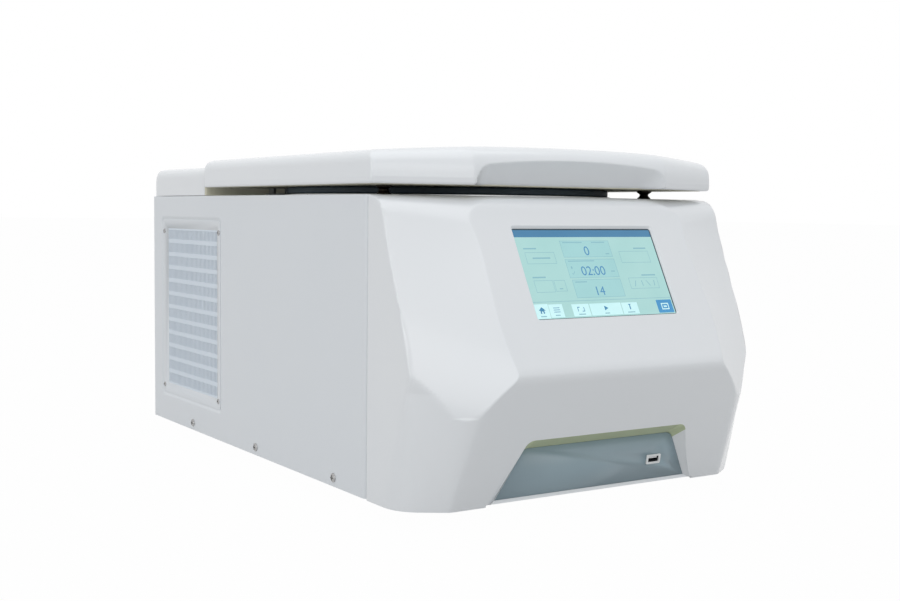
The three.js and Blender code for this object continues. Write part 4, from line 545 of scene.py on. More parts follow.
def stacked(rings):
    """A closed body through rings of equal count: the corners and the faces."""
    rows, columns = len(rings), len(rings[0])
    floor_face = [tuple(range(columns))[::-1]]
    return ([p for ring in rings for p in ring],
            quads(rows, columns, closed=True) + floor_face + last_row(rows, columns))


def joined(bodies):
    """Several closed bodies as one list of corners and one of faces."""
    corners, faces = [], []
    for more, sides in bodies:
        faces += [tuple(i + len(corners) for i in side) for side in sides]
        corners += more
    return corners, faces


def block(low, high):
    """The corners and faces of a box between two corners."""
    ring = [(low[0], low[1]), (high[0], low[1]), (high[0], high[1]), (low[0], high[1])]
    return stacked([[(x, y, z) for x, y in ring] for z in (low[2], high[2])])


print("a box has", len(block((0, 0, 0), (1, 1, 1))[1]), "faces")


# %% A form's own directions for its corners
def read(items, what, width=1, kind=float):
    """One value of each item, such as all corners' places, as rows of this width."""
    values = np.empty(len(items) * width, kind)
    items.foreach_get(what, values)
    return values.reshape(-1, width) if width > 1 else values


def true_normals(thing, form):
    """Gives each corner that lies on the form the form's own direction, so that no facet shows."""
    probe, near_skin, same_way = 0.05, 0.02, 0.8
    mesh = thing.data
    spots = (read(mesh.vertices, "co", 3) - np.array([0, seam_y, sheet_z])) * 1000
    lean = np.stack([form(*(spots + s).T) - form(*(spots - s).T) for s in np.eye(3) * probe], axis=1)
    lean /= np.maximum(np.linalg.norm(lean, axis=1, keepdims=True), 1e-9)
    on_skin = np.abs(form(*spots.T)) < near_skin
    flat = np.repeat(read(mesh.polygons, "normal", 3), read(mesh.polygons, "loop_total", kind=int), axis=0)
    corner = read(mesh.loops, "vertex_index", kind=int)
    agrees = on_skin[corner] & (np.einsum("ij,ij->i", flat, lean[corner]) > same_way)
    mesh.shade_smooth()
    mesh.normals_split_custom_set(np.where(agrees[:, None], lean[corner], flat).tolist())
    return int(agrees.sum()), len(corner)


print("the floor's corners:", read(floor_mesh.vertices, "co", 3).tolist())


# %% [markdown]
# ## The front housing
# The front is one moulding: a lower face that leans out, an upper face that leans back with the screen in
# it, and a planed corner on each side that is slightly hollow as seen from the side. It is built from these
# faces with a rounding for each edge: 20 mm at the bend, 25 mm at the top, and at the foot of the lower
# corner posts a wide 40 mm round that gets tighter upwards. The planed corners roll over into the top with
# 40 to 50 mm, but their long edges are crisp, and so is the edge at the seam. Lines from the middle of the
# machine find the skin.

# %% The faces of the front housing
half_width, sheet_top, bend_z = 200.0, 274.5, 119.6
low_lean, high_lean = 0.37038, 0.52873
crease_at_foot, crease_above, crease_at_screen, post_top, tuck_height = 159.7, 157, 188, 105, 40
bend_blend, ramp_blend, top_blend, seam_blend = 6.7, 1.6, 13.3, 1.1
housing_wall = 4


def lower_reach(z):
    return 78.5 + low_lean * z


def upper_reach(z):
    return 122.8 - high_lean * (z - bend_z)


def planed_reach(x, z):
    """How far the planed corner stands in front of the seam: straight across, gently curved in height."""
    u, v = (np.abs(x) - 160) / 40, np.maximum((z - 180) / 100, -0.95)
    below = np.maximum(85 - z, 0)
    return 73.9 - 47.7 * v - 5.4 * v * v + 12.3 * v ** 3 - u * (18.7 - 7.7 * v) + 0.7 * below


def front_housing(x, y, z):
    """Distance outside the front housing, in millimetres."""
    rise, tuck = np.clip(z / post_top, 0, 1), np.clip((z - bend_z) / tuck_height, 0, 1)
    # the corner posts sweep back from a crease: widely at the foot, more tightly above
    past_crease = np.abs(x) - between(between(crease_at_foot, crease_above, rise), crease_at_screen, tuck)
    spread, slope = between(4, 18, rise), between(0.64, 1.13, rise)
    slant = slope * np.where(past_crease > spread, past_crease,
                             np.maximum(past_crease + spread, 0) ** 2 / (4 * spread))
    front = round_over((-y - lower_reach(z)) / math.hypot(1, low_lean),
                       (-y - upper_reach(z)) / math.hypot(1, high_lean), bend_blend)
    straight = np.minimum(lower_reach(z), upper_reach(z))
    front = round_over(front, (-y - straight + slant) / np.hypot(1, slope), ramp_blend)
    front = round_over(front, z - sheet_top, top_blend)
    # the planed corners cut across, with a crisp long edge that softens towards the side
    planed_top_blend = 20 + 7 * (half_width - np.abs(x)) / 80
    planed = round_over((-y - planed_reach(x, z)) / 1.19, z - sheet_top, planed_top_blend)
    front = round_over(front, np.abs(x) - half_width, between(18.3, 2.0, rise))
    edge = between(0.9, 0.35, np.clip((z - post_top) / 30, 0, 1))
    front = round_over(front, planed, between(edge, 1.5, np.clip((np.abs(x) - 185) / 12, 0, 1)))
    return round_over(front, y + 0.3, seam_blend)


heights = np.concatenate([np.arange(-0.5, 249, 1.5), 249.5 + 25 * np.sin(np.linspace(0, math.pi / 2, 18))])
along_side = np.concatenate([[0, 0.002, 0.005, 0.009, 0.015], np.linspace(0.03, 1, 29)])
along_front = np.concatenate([np.linspace(-1, -0.54, 74), np.linspace(-0.515, 0.515, 42),
                              np.linspace(0.54, 1, 74)])
rough = []
for z in heights:
    reach = max(30.0, min(lower_reach(z), upper_reach(z)))
    left = [(-half_width, -0.3 - reach * s, z) for s in along_side[:-1]]
    rough.append(left + [(half_width * s, -0.3 - reach, z) for s in along_front] +
                 [(half_width, y, z) for _, y, _ in left[::-1]])
rough = np.array(rough)
starts = rough * [0, 0, 1] + [0, -1.6, 0]
skin = skin_along_lines(front_housing, starts, rough)
rows, columns = skin.shape[:2]
faces = quads(rows, columns) + last_row(rows, columns)
housing = new_piece("front_housing_moulding", skin.reshape(-1, 3), faces, moulding, "white_housing",
                    stands_for=["front_fascia"])
thicken(housing, housing_wall)
print("front housing:", rows, "x", columns, "corners")

# %% [markdown]
# ## Its screen pocket and the low recess
# The mould has two cores: a rectangular one that leaves a step round the screen, square to the sloping
# face, and a flared one that leaves the recess low in the front. Both are cut here with the same shapes
# that the cores have. The recess needs walls first, so a collar is joined on behind the face before it is
# hollowed. The sill that would be left under the recess is cut back to the panel's foot, and the ceiling's
# downward faces get an olive grey that paints the shade on them.

# %% Cutting the screen pocket and the recess
screen_lean = math.atan(high_lean)
screen_middle = 206.5
screen_y = -upper_reach(screen_middle)


def on_screen(x, up, into):
    """A place on the sloping screen: across, up the slope and into the machine, in machine millimetres."""
    return (x, screen_y + into * math.cos(screen_lean) + up * math.sin(screen_lean),
            screen_middle - into * math.sin(screen_lean) + up * math.cos(screen_lean))


def recess_ring(share, margin=0.0, behind=0.0):
    """The recess's outline: share 1 is its mouth on the lower face, 0 is at the panel."""
    top, bottom = between(50, 60, share) + margin, between(4.5, 1, share) - margin
    top_half, bottom_half = between(88.4, 93, share) + margin, between(113, 119, share) + margin
    top_y, bottom_y = -between(85, lower_reach(60), share), -between(77, lower_reach(1), share)
    ring = outline([(bottom_half, bottom, 0), (top_half, top, 10), (-top_half, top, 10),
                    (-bottom_half, bottom, 0)])
    return [(x, between(bottom_y, top_y, (z - bottom) / (top - bottom)) + behind, z) for x, z in ring]


pocket = [[on_screen(x, up, into) for x, up in rectangle(-82.9 - flare, -45.2 - flare, 83 + 2.4 * flare,
                                                         44.7 + 3 * flare, 2.5)]
          for into, flare in ((-6, 3.1), (0, 0.9), (2.4, 0), (9, 0))]
collar = stacked([recess_ring(0, 3, 8), recess_ring(0, 3), recess_ring(0.96, 3)])
mouth = stacked([recess_ring(0, 0, 14), recess_ring(0), recess_ring(1.6)])
sill = block((-123, -90, -6), (123, -60, 1.7))
carve(housing, collar, operation="UNION")
carve(housing, mouth, stacked(pocket), sill)


def paint_shade_on_faces(thing, material, chosen):
    """Gives another material to the faces that are chosen by their direction and height, to paint shade on
    them.
    """
    thing.data.materials.append(material)
    for face in thing.data.polygons:
        if chosen(face.normal, 1000 * (face.center.z - sheet_z)):
            face.material_index = 1


# the downward faces of the recess's ceiling get an olive grey: painted shade
paint_shade_on_faces(housing, olive_painted_shade, lambda normal, z: normal.z < -0.5 and 45 < z < 62)
print("corners on the housing's skin:", true_normals(housing, front_housing))

# %% [markdown]
# ## The lid
# The lid is another large moulding: a low crown that falls towards the sides, a bow in front with a rounded
# brow, slanted shoulders beside it, a lip that runs in a little below a crease, and a round back edge about
# the hinge. A finger scoop is cut up into the bow: a flat arched roof that runs down and back between two
# end walls, so it takes away only what lies under the roof and also between the walls. All of it is again
# planes and roundings, and lines from the lid's middle find the skin.

# %% The faces of the lid
lid_bottom, lid_side, lid_wall = 283.5, 204, 2
back_y, back_z, back_radius = 356, 305, 15.8
bow_y, shoulder_x, shoulder_y, shoulder_slope, side_y = -47, 115, -43, 0.3483, -12
crown_z, crown_fall, crown_half = 320.8, 6.5, 190
scoop_z, scoop_slope, scoop_half = 312, 1.25, 114.5
scoop_blend, brow_blend = 17, 11


def lid_form(x, y, z):
    """Distance outside the lid, in millimetres."""
    away = np.abs(x)
    # the lip runs in below the crease, and the front leans back above it
    run_in = 0.8 * np.clip((290 - z) / 6, 0, 1) + np.maximum(z - 294, 0) ** 2 / 56
    bow = (bow_y + (shoulder_y - bow_y) * (away / shoulder_x) ** 2 + run_in) - y
    shoulder = (shoulder_y + shoulder_slope * (away - shoulder_x) + run_in - y) / 1.059
    front = round_over(bow, shoulder, 0.25)
    # the scoop takes away what lies under its roof and between its end walls
    roof = (scoop_z - scoop_slope * (y - bow_y) - 0.0004 * x * x - z) / 1.6
    end_wall = scoop_half - 0.4 * (y + 45) - away
    front = round_over(front, -round_over(-roof, -end_wall, scoop_blend), 0.9)
    front = round_over(front, away - lid_side + 0.05 * np.maximum(z - 290, 0), 1.6)
    crown = z - (crown_z - crown_fall * (x / crown_half) ** 2)
    upper = round_over(round_over(front, crown, brow_blend), lid_bottom - z, 3)
    back = np.hypot(np.maximum(y - back_y, 0), np.maximum(z - back_z, 0)) - back_radius
    return round_over(upper, back, 2.0)


def even_steps(points, pitch):
    """A closed outline walked in equal steps of about one pitch."""
    ring = np.array(points + points[:1])
    run = np.concatenate([[0], np.cumsum(np.hypot(*np.diff(ring, axis=0).T))])
    marks = np.linspace(0, run[-1], int(run[-1] / pitch) + 1)[:-1]
    return np.stack([np.interp(marks, run, ring[:, i]) for i in (0, 1)], axis=1)


def domed_skin(form, middle, ring, levels):
    """The skin of a form that is open below: rings from its lower edge up and over to its middle."""
    rough = np.array([[(*(middle[:2] + (p - middle[:2]) * share), z) for p in ring] for share, z in levels])
    skin = skin_along_lines(form, np.broadcast_to(middle, rough.shape), rough)
    rows, columns = skin.shape[:2]
    return skin.reshape(-1, 3), quads(rows, columns, closed=True) + last_row(rows, columns)


back_edge = back_y + back_radius
rim_corners = [(lid_side, back_edge, 2), (lid_side, side_y, 5), (shoulder_x, shoulder_y, 4), (0, bow_y, 0),
               (-shoulder_x, shoulder_y, 4), (-lid_side, side_y, 5), (-lid_side, back_edge, 2)]
lid_rim = even_steps(outline(rim_corners[::-1]), 2.0)
walls = [(1, lid_bottom + rise) for rise in (0.3, 0.9, 1.6, 2.4, 3.3, *np.arange(4.4, 30, 1.3))]
over = [(1 - 0.08 * (1 - math.cos(a)), 313.5 + 6.5 * math.sin(a)) for a in np.linspace(0.2, math.pi / 2, 7)]
inward = [(share, 320) for share in np.concatenate([np.linspace(0.9, 0.8, 6), np.linspace(0.76, 0.02, 18)])]
skin, faces = domed_skin(lid_form, np.array([0, 165, lid_bottom + 1]), lid_rim, walls + over + inward)
lid = new_piece("lid_moulding", skin, faces, moulding, "white_housing", "lid", ["lid_shell"])
thicken(lid, lid_wall)
# the back edge is open between the hinge arms and higher where each arm passes
carve(lid, block((-132, 358, 270), (132, 380, 291.5)), block((100, 345, 270), (132, 380, 312)),
      block((-132, 345, 270), (-100, 380, 312)))
print("corners on the lid's skin:", true_normals(lid, lid_form))

# %% [markdown]
# ## The rear cover
# Behind the lid sits a fixed cover of the same moulded plastic. It has the same kind of rounded edges as
# the lid, 12 mm at the sides and the back, and a smaller one along the groove in which the lid's edge
# turns. The foot of its front wall, seen under an open lid, is coloured cream like the lid's liner, which
# paints the warm shade under the lid.

# %% The rear cover
cover_top, cover_front, cover_back, cover_radius, cover_wall = 307, 377.5, 545, 12, 3


def cover_form(x, y, z):
    """Distance outside the rear cover, in millimetres."""
    top = round_over(z - cover_top, y - cover_back, cover_radius)
    sides = round_over(top, np.abs(x) - half_width, cover_radius)
    return round_over(sides, cover_front - y, 4)


cover_rim = even_steps(rectangle(-half_width, cover_front, half_width, cover_back, 8), 3.0)
walls = [(1, z) for z in np.linspace(274.8, 296, 8)]
over = [(1 - 0.1 * (1 - math.cos(a)), 296 + 11 * math.sin(a)) for a in np.linspace(0.15, math.pi / 2, 9)]
inward = [(share, cover_top) for share in (*np.linspace(0.88, 0.8, 4), *np.linspace(0.7, 0.02, 8))]
skin, faces = domed_skin(cover_form, np.array([0, 461.25, 274.8]), cover_rim, walls + over + inward)
cover = new_piece("rear_cover_moulding", skin, faces, moulding, "white_housing", stands_for=["rear_cover"])
thicken(cover, cover_wall)
# the foot of the front wall gets cream as a painted warm shade under the lid
paint_shade_on_faces(cover, cream_painted_shade, lambda normal, z: normal.y < -0.7 and z < 284.5)
print("corners on the cover's skin:", true_normals(cover, cover_form))

# %% [markdown]
# ## The lit screen
# The touch screen is a glass-fronted panel that shines by itself. Its picture is plain: a deep blue bar
# along the top, a mint field, three boxes with large numbers, smaller boxes beside them and a row of keys.
# It could be one picture on a plane, but then every colour would be an image. Here the panel and each field
# of the picture is a thin leaf of mesh, a few hundredths of a millimetre above the one below it, so each
# keeps its own finish. Such a screen looks faintly green from the side, because its glow is part reflection
# and part light.

# %% Finishes for the screen
def lit(name, dark, light, strength):
    """A glowing field behind clear glass: two near tones in broad clouds, as no backlight is quite even."""
    material, tree, shader, where = new_finish(name, Roughness=0.22, IOR=1.5, Coat_Weight=0.4,
                                               Coat_Roughness=0.08, Emission_Strength=strength)
    tone = tones(tree, noise(tree, where, 0.03, 1.0), dark, light)
    for socket in ("Base Color", "Emission Color"):
        tree.links.new(tone, shader.inputs[socket])
    return material


lit_field = lit("lit_field", "#9cc9c6", "#a8d0cd", 0.28)
lit_box = lit("lit_number_box", "#93c3c4", "#9bcacb", 0.3)
lit_bar = lit("lit_blue_bar", "#2f729c", "#387ca4", 0.22)
lit_key = lit("lit_key", "#b9e2e4", "#c4e8e9", 0.35)
lit_blue_key = lit("lit_blue_key", "#2c83b8", "#338cc0", 0.3)
lit_line = lit("lit_thin_line", "#7fb0bb", "#88b8c2", 0.25)
lit_mark = lit("lit_mark", "#4487b3", "#4c90bb", 0.22)
lit_dark = lit("lit_dark_mark", "#2f7ea8", "#3a88b0", 0.2)
panel_edge = grained("black_panel_edge", "#2a4450", "#31505c", 0.001, 0.00002, 0.35, 1.5)

# %% The panel and its picture
glass_face, glass_depth, leaf_thickness = 2.5, 2.5, 0.02
field_height, box_height, line_height, sign_height, number_height = 0.03, 0.06, 0.09, 0.1, 0.12


def leaf(name, shapes, height, material):
    """Flat shapes at a height above the panel: rectangles as four numbers and a radius, or closed outlines."""
    front = glass_face - height
    outlines = [rectangle(*shape) if np.isscalar(shape[0]) else shape for shape in shapes]
    bodies = [stacked([[on_screen(x, up, into) for x, up in ring] for into in (front + leaf_thickness, front)])
              for ring in outlines]
    new_piece(name, *joined(bodies), material, "screen_glass")


def frame_of(x0, y0, x1, y1, line=0.35):
    """Four thin strips round a rectangle."""
    return [(x0, y0, x1, y0 + line), (x0, y1 - line, x1, y1),
            (x0, y0 + line, x0 + line, y1 - line), (x1 - line, y0 + line, x1, y1 - line)]


panel = [[on_screen(x, up, into) for x, up in rectangle(-82.7, -45, 82.8, 44.5, 2.3)]
         for into in (glass_face, glass_face + glass_depth)]
solid_piece("screen_panel", *stacked(panel), panel_edge, "screen_glass", stands_for=["touch_screen"])
number_boxes = [(-32, 15.3, 26.2, 32.2), (-32, -5.6, 26.6, 13.2), (-30.8, -25.5, 26.5, -7.4)]
boxes = [(-75.2, 9.2, -42.1, 20.7), (-74.2, -19, -53, -7.2), (-52, -18.4, -39.4, -7.4),
         (35.2, 8.9, 71.4, 21), (36.6, -18.1, 71.9, -6.8)] + number_boxes
keys = [(-81.9, -44.2, -66.8, -30.2), (-66.2, -43.6, -50.8, -30.8), (-40.3, -43.3, -20.6, -31.5),
        (-19.6, -43.3, 17.2, -31.5), (18.1, -43.3, 37.3, -31.8)]
lines = [strip for b in boxes for strip in frame_of(*b)] + [(-82.4, -28.4, 81.6, -28)]
captions = [(-75.5, 23.8, -61, 25.2), (-74.4, -4.9, -59.7, -3.5), (54.5, 23.2, 70, 24.6), (54, -5, 71.3, -3.6),
            (-29, 29.9, -6, 30.9), (5, 29.9, 21, 30.9), (18.5, 18, 23, 19), (-29, 10.9, 2, 11.9),
            (18.5, 0, 23, 1), (-28, -10.2, -14, -9.2), (-68, 14.2, -48, 15.6), (-47.6, -16.4, -43.8, -15.4),
            (-77.6, -42.6, -71, -41.6), (-61, -42, -55.6, -41), (-34.4, -42, -26.6, -41), (-4, -42, 1.6, -41),
            (23.4, -42, 32, -41)]
for name, shapes, height, material in [
        ("screen_field", [(-82.4, -44.6, 81.6, 36)], field_height, lit_field),
        ("screen_top_bar", [(-82.4, 36, 81.6, 43.2)], field_height, lit_bar),
        ("screen_number_boxes", number_boxes, box_height, lit_box),
        ("screen_key_row", keys, box_height, lit_key),
        ("screen_blue_key", [(61.4, -43.6, 80.4, -30.4, 0.6)], box_height, lit_blue_key),
        ("screen_lines", lines, line_height, lit_line),
        ("screen_captions", captions, line_height, lit_line)]:
    leaf(name, shapes, height, material)
print("the screen's picture has", len(boxes), "boxes")

# %% [markdown]
# ## Numbers and signs on the screen
# The three large numbers are speed, time and temperature. Text objects with Blender's own plain typeface
# draw them, laid on the slope by the same matrix as the panel. The signs on the keys are drawn with a few
# corners each: a house, a list, a loop, an arrow that starts the run, a tube and a window.

# %% Numbers and key signs
slope_matrix = Matrix((
    (1, 0, 0, 0),
    (0, math.sin(screen_lean), -math.cos(screen_lean), 0),
    (0, math.cos(screen_lean), math.sin(screen_lean), 0),
    (0, 0, 0, 1),
))
for name, text, x, up, size in [("speed", "0", -3.4, 21.2, 13.0), ("time", "02:00", -2.6, 0.8, 13.0),
                                ("temperature", "14", -2.2, -19.6, 12.6)]:
    words = bpy.data.curves.new(f"screen_number_{name}", "FONT")
    words.body, words.size = text, size / 1000
    words.align_x, words.align_y = "CENTER", "CENTER"
    words.extrude = 0.00002
    words.materials.append(lit_mark)
    number = put_in_scene(f"screen_number_{name}", words)
    spot = Vector(place([on_screen(x, up, glass_face - number_height)])[0])
    number.matrix_world = Matrix.Translation(spot) @ slope_matrix
    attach(number, "cabinet")

house = [(-76.6, -39.4), (-76.6, -36.4), (-78.2, -36.4), (-74.4, -33), (-70.6, -36.4), (-72.2, -36.4),
         (-72.2, -39.4), (-73.6, -39.4), (-73.6, -37.2), (-75.2, -37.2), (-75.2, -39.4)]
page_list = [(-61.6, -34.6, -54.6, -34), (-61.6, -36.6, -54.6, -36), (-61.6, -38.6, -54.6, -38)]
loop = [[(-34.4, -38.6), (-34.4, -34.2), (-31.6, -34.2), (-31.6, -34.9), (-33.7, -34.9), (-33.7, -38.6)],
        [(-29.4, -38.9), (-26.6, -38.9), (-26.6, -34.6), (-27.3, -34.6), (-27.3, -38.2), (-29.4, -38.2)]]
start_arrow = [(-3, -38.8), (-3, -34), (1.4, -36.4)]
tube = [(27, -38.8, 28.2, -34), (26.2, -34, 29, -33.3)]
signs = [house, *page_list, *loop, start_arrow, *tube]
leaf("screen_key_signs", signs, sign_height, lit_dark)
window = frame_of(66.4, -40.4, 75.6, -33.8, 1.1) + [(69, -38, 73, -36.4)]
leaf("screen_window_sign", window, sign_height, lit_key)
tick = [(-28.2, -1), (-26.9, -2.4), (-24.4, 0.6), (-24.9, 1), (-26.9, -1.5), (-27.8, -0.6)]
curve_strokes = [[(42, -15.6), (42.8, -15.6), (45, -9.8), (44.2, -9.8)],
                 [(51.4, -9.8), (52, -15.4), (52.8, -15.4), (52.2, -9.8)],
                 [(57, -9.8), (61, -15.4), (61.8, -15.4), (57.8, -9.8)],
                 [(66.2, -15.4), (66.8, -9.8), (67.6, -9.8), (67, -15.4)]]
leaf("screen_marks", [(-27.6, 3.6, -26, 6.2, 0.7), tick, *curve_strokes], sign_height, lit_line)
print("screen numbers and", len(signs), "key signs are in place")

# %% [markdown]
# ## The side panels
# Each side is one sheet of steel, 1.2 mm thick. Its front edge is folded round a radius of 8.5 mm, and such
# a round edge catches a thin bright line of light. A shallow tray is pressed in for the air vent, with soft
# walls. The sheet is again a form with a distance, and a grid of lines across its width finds the skin.

# %% Two side sheets with pressed trays
tray_low_y, tray_high_y, tray_low_z, tray_high_z = 331.5, 518.5, 29.5, 250.5
tray_corner, tray_depth, tray_wall = 8, 1.5, 4.5
fold_radius, sheet_thickness, machine_back = 8.5, 1.2, 545


def pressed_depth(y, z):
    """How deep the tray is pressed at a place on the side, in millimetres."""
    along, up = np.minimum(y - tray_low_y, tray_high_y - y), np.minimum(z - tray_low_z, tray_high_z - z)
    inside = tray_corner - np.hypot(np.maximum(tray_corner - along, 0), np.maximum(tray_corner - up, 0))
    ease = np.clip(inside / tray_wall, 0, 1)
    return tray_depth * ease * ease * (3 - 2 * ease)


def side_form(x, y, z):
    """Distance outside the left side sheet."""
    face = -x - half_width + pressed_depth(y, z)
    front = round_over(face, -y, fold_radius)
    return round_over(front, np.maximum(z - sheet_top, y - machine_back), 1.6)


# the grid is fine where the sheet bends: at the fold, at the tray's walls and near the edges
at_fold = [0.02, 0.1, 0.25, 0.5, 0.8, 1.2, 1.7, 2.3, 3, 3.8, 4.7, 5.6, 6.6, 7.6, 8.8, 10]
ys = np.array([*at_fold, *np.arange(14, 325, 12), *np.arange(330, 339, 0.75), *np.arange(348, 510, 9),
               *np.arange(512, 520.5, 0.75), 524, 530, 536, 541, 543, 544, 544.6, 544.95])
zs = np.array([0, 10, 20, *np.arange(29.5, 37.5, 0.75), *np.arange(46, 243, 9), *np.arange(244, 252, 0.75),
               258, 265, 270, 272, 273, 273.6, 274, 274.3, 274.48])
outside_x, line_length = -260.0, 70
grid = np.array([[(outside_x, y, z) for y in ys] for z in zs])
skin = skin_along_lines(side_form, grid + [line_length, 0, 0], grid)
faces = [(a, d, c, b) for a, b, c, d in quads(*skin.shape[:2])]
side_sheet = new_piece("left_side_sheet", skin.reshape(-1, 3), faces, powder_coat, "white_paint",
                       stands_for=["left_side_panel"])
thicken(side_sheet, sheet_thickness)
carve(side_sheet, block((-205, 344.5, 46), (-190, 496.5, 236)))
print("corners on the side sheet's skin:", true_normals(side_sheet, side_form))


def mirrored(thing, name, *stands_for):
    """The same piece on the other side of the machine."""
    mesh = thing.data.copy()
    mesh.transform(Matrix.Diagonal((-1, 1, 1, 1)))
    mesh.flip_normals()
    other = put_in_scene(name, mesh)
    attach(other, "cabinet")
    if stands_for:
        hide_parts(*stands_for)


mirrored(side_sheet, "right_side_sheet", "right_side_panel")

# %% [markdown]
# ## The air vents
# Air for the condenser passes a grille in each side panel: twelve rows of fine upright slits between plain
# bars. The slits are 1.8 mm wide between ribs that are 3 mm deep, so from the front one sees pale ribs and
# no way through. The ribs get a bluer copy of the plate's white paint, which paints the cool shade between
# them. They are one block, cut by a comb of 456 small boxes in a single step. The right grille is a mirror
# image.

# %% Two vent grilles
slit_pitch, slit_width, row_pitch, bar_width, slit_rows, slit_columns = 4.0, 1.8, 15.83, 4.8, 12, 38
plate_out, plate_in = -199.2, -198.45
plate = stacked([[(x, y, z) for y, z in rectangle(336, 34.5, 514, 246.5, 5)] for x in (plate_out, plate_in)])
grille = solid_piece("left_air_grille", *plate, powder_coat, "white_paint", stands_for=["left_vent_grille"])
rib_low, rib_high = (plate_out, 344.9, 46.4), (-196.2, 496.1, 235.6)
carve(grille, block((-202, *rib_low[1:]), (-190, *rib_high[1:])))
# the ribs' bluer white is painted shade, for the cool shade between them
ribs = solid_piece("left_grille_ribs", *block(rib_low, rib_high), vent_painted_shade, "white_paint")
slits = [block((-201, 345 + slit_pitch * column, 46.2 + row_pitch * row + bar_width / 2),
               (-195, 345 + slit_pitch * column + slit_width, 46.2 + row_pitch * (row + 1) - bar_width / 2))
         for row in range(slit_rows) for column in range(slit_columns)]
carve(ribs, joined(slits))
facing_out(ribs)
mirrored(grille, "right_air_grille", "right_vent_grille")
mirrored(ribs, "right_grille_ribs")
print("each grille has", len(slits), "slits")

# %% [markdown]
# ## Screws
# The sheet metal is held by pan-head screws with a cross recess: large ones along the foot of the side
# panels, small ones at the corners of the vents and round the rear panel. A screw head is a turned dome, so
# one dome is made, the cross is cut out of it, and every screw shares that mesh at its own size.

# %% Screw heads
def turned(profile, x=0.0, y=0.0, sides=48):
    """A closed turned body on an upright axis, from its radii and heights."""
    angles = np.linspace(0, 2 * math.pi, sides, endpoint=False)
    return stacked([[(x + r * math.cos(a), y + r * math.sin(a), z) for a in angles] for r, z in profile])


# the head has a radius of 1 mm here, and each screw scales it
dome = [(1.0, 0), (1.0, 0.12)] + [(math.cos(a), 0.12 + 0.36 * math.sin(a)) for a in np.linspace(0.2, 1.5, 8)]
corners, faces = turned(dome, sides=32)
head = put_in_scene("head", mesh_of("cross_recess_head", np.array(corners) / 1000, faces))
head.data.materials.append(screw_steel)
for long, wide in ((0.62, 0.13), (0.13, 0.62)):
    corners, faces = block((-long, -wide, 0.16), (long, wide, 0.7))
    combine(head, mesh_of("cross", np.array(corners) / 1000, faces))
facing_out(head)
head_mesh = head.data
bpy.data.objects.remove(head)


def screw(name, at, outward, radius):
    """A screw head on a face that looks outward, with a radius in millimetres."""
    thing = put_in_scene(name, head_mesh)
    turn = Vector(outward).to_track_quat("Z", "Y").to_matrix().to_4x4()
    thing.matrix_world = Matrix.Translation(Vector(place([at])[0])) @ turn @ Matrix.Scale(radius, 4)
    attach(thing, "cabinet")


foot_screw, small_screw, tray_floor = 4.4, 2.9, 199.2
places = [(y, 8.5, half_width, foot_screw) for y in (63, 239, 416)]
places += [(y, z, tray_floor, small_screw) for y, z in ((509, 232), (340, 233), (510, 43), (342, 43.5))]
for side, name in ((-1, "left"), (1, "right")):
    for i, (y, z, out, radius) in enumerate(places, 1):
        screw(f"{name}_panel_screw_{i}", (side * out, y, z), (side, 0, 0), radius)
rear_places = [(-185, 20), (0, 12), (185, 20), (-185, 255), (0, 262), (185, 255)]
for i, (x, z) in enumerate(rear_places, 1):
    screw(f"rear_panel_screw_{i}", (x, machine_back, z), (0, 1, 0), small_screw)
print(2 * len(places) + len(rear_places), "screws")

# %% [markdown]
# ## The data socket
# The socket in the low panel is a white moulded frame round a dark metal shell, with a white tongue near
# the shell's upper side. All three lean with the panel, so they are drawn in the panel's own directions.

# %% Frame, shell and tongue of the data socket
panel_lean = math.atan(8 / 45.5)
socket_middle = (70, -80.6, 24.7)


def on_panel(across, up, out):
    """A place near the socket: across and up from its middle, and out from the low panel's face."""
    x, y, z = socket_middle
    return (x + across, y - up * math.sin(panel_lean) - out * math.cos(panel_lean),
            z + up * math.cos(panel_lean) - out * math.sin(panel_lean))


def on_panel_block(half, low, high, outs, radius=0.0):
    """A block on the low panel, between two heights, from one place to another out of its face."""
    ring = rectangle(-half, low, half, high, radius)
    return stacked([[on_panel(a, b, out) for a, b in ring] for out in outs])


socket = solid_piece("data_socket_frame", *on_panel_block(8.8, -4.7, 4.7, (0.1, 1.2), 1.3), white_abs,
                     "white_plastic", stands_for=["usb_port"])
carve(socket, on_panel_block(6.6, -2.9, 2.9, (-3, 5), 0.5))
facing_out(socket)
shell = new_piece("data_socket_shell", *on_panel_block(6.9, -3.2, 3.2, (-14, 0.08)), black_abs, "black_plastic")
carve(shell, on_panel_block(6.3, -2.6, 2.6, (-12, 5)))
facing_out(shell)
tongue = solid_piece("data_socket_tongue", *on_panel_block(5.4, 0.5, 2.0, (-12.2, -0.6)), white_abs,
                     "white_plastic")
print("socket pieces:", socket.name, shell.name, tongue.name)
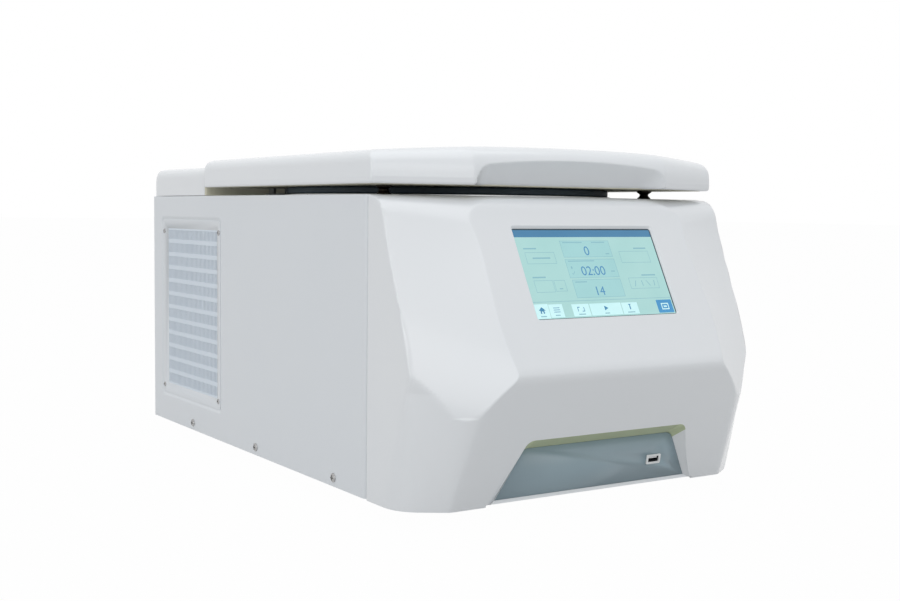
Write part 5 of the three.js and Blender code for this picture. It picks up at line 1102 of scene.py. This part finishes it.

# %% [markdown]
# ## Turned pieces
# The two strikers that the lid's lock grips are turned on a lathe, the bowl is spun from a steel disc, and
# the seal on its rim is a ring with a groove inside and a soft lip above it, which the lid presses down. Each
# is turned here from its own profile, with more sides than the CAD solid has and with small radii.

# %% Strikers
# the strikers' dark steel is partly painted shade, for the shadow they stand in under the lid's edge, and
# partly their warm brown
blackened_and_shaded = worked_metal("blackened_and_shaded_steel", "#2c2a28", "#4a443d", (1, 1, 0.2), 0.0015, 0.3, 0.45, 0.00001)
striker_profile = [(7.6, 283.3), (8, 282.9), (8, 282.3), (7.2, 281.7), (5, 280.3), (4.5, 279.5), (4.6, 278.4),
                   (5.4, 277.2), (6.8, 276.2), (7, 275.6), (6.8, 275), (5, 274.6), (5, 262.3), (4.8, 262),
                   (3, 262), (3, 254), (6.2, 253.9), (6.5, 253.5), (6.5, 248.6), (6.2, 248), (3, 244.3),
                   (2.6, 244)][::-1]
for side, x in (("left", -160), ("right", 160)):
    solid_piece(f"lid_striker_{side}", *turned(striker_profile, x, 41), blackened_and_shaded, "stainless", "lid",
                [f"striker_{side}"])
print("two strikers,", len(striker_profile), "steps in the profile")


# %% The bowl and its seal
def ring_body(profile, y, sides):
    """A closed ring round an upright axis, from a closed loop of radii and heights."""
    angles = np.linspace(0, 2 * math.pi, sides, endpoint=False)
    corners = [(r * math.cos(a), y + r * math.sin(a), z) for r, z in profile for a in angles]
    return corners, quads(len(profile), sides, closed=True, looped=True)


chamber_y, bowl_radius, floor_z, rim_z, bowl_wall, ring_sides = 180, 148, 132, 276.3, 1.5, 160
bowl_outside, under_floor, under_rim = bowl_radius + bowl_wall, floor_z - bowl_wall, rim_z - bowl_wall
flange_radius, shaft_hole = 176, 36
bowl_loop = outline([(shaft_hole, under_floor, 0), (bowl_outside, under_floor, 31.5),
                     (bowl_outside, under_rim, 2.5), (flange_radius, under_rim, 0), (flange_radius, rim_z, 0.7),
                     (bowl_radius, rim_z, 4), (bowl_radius, floor_z, 30), (shaft_hole, floor_z, 0.7)])
seal_loop = outline([(163, 276.6, 0.6), (173.5, 276.6, 1), (173.5, 283.2, 2), (164.4, 283.2, 1.2),
                     (163, 281.4, 0.4), (166, 280.8, 0.5), (166, 278.8, 0.5), (163, 278.6, 0.4)], 4)
for name, loop, material, slot, node in (
        ("spun_bowl", bowl_loop, stainless, "stainless", "chamber_bowl"),
        ("lid_seal", seal_loop, seal_rubber, "black_rubber", "chamber_gasket")):
    solid_piece(name, *ring_body(loop, chamber_y, ring_sides), material, slot, stands_for=[node])
print("bowl and seal,", len(bowl_loop), "and", len(seal_loop), "steps in their loops")
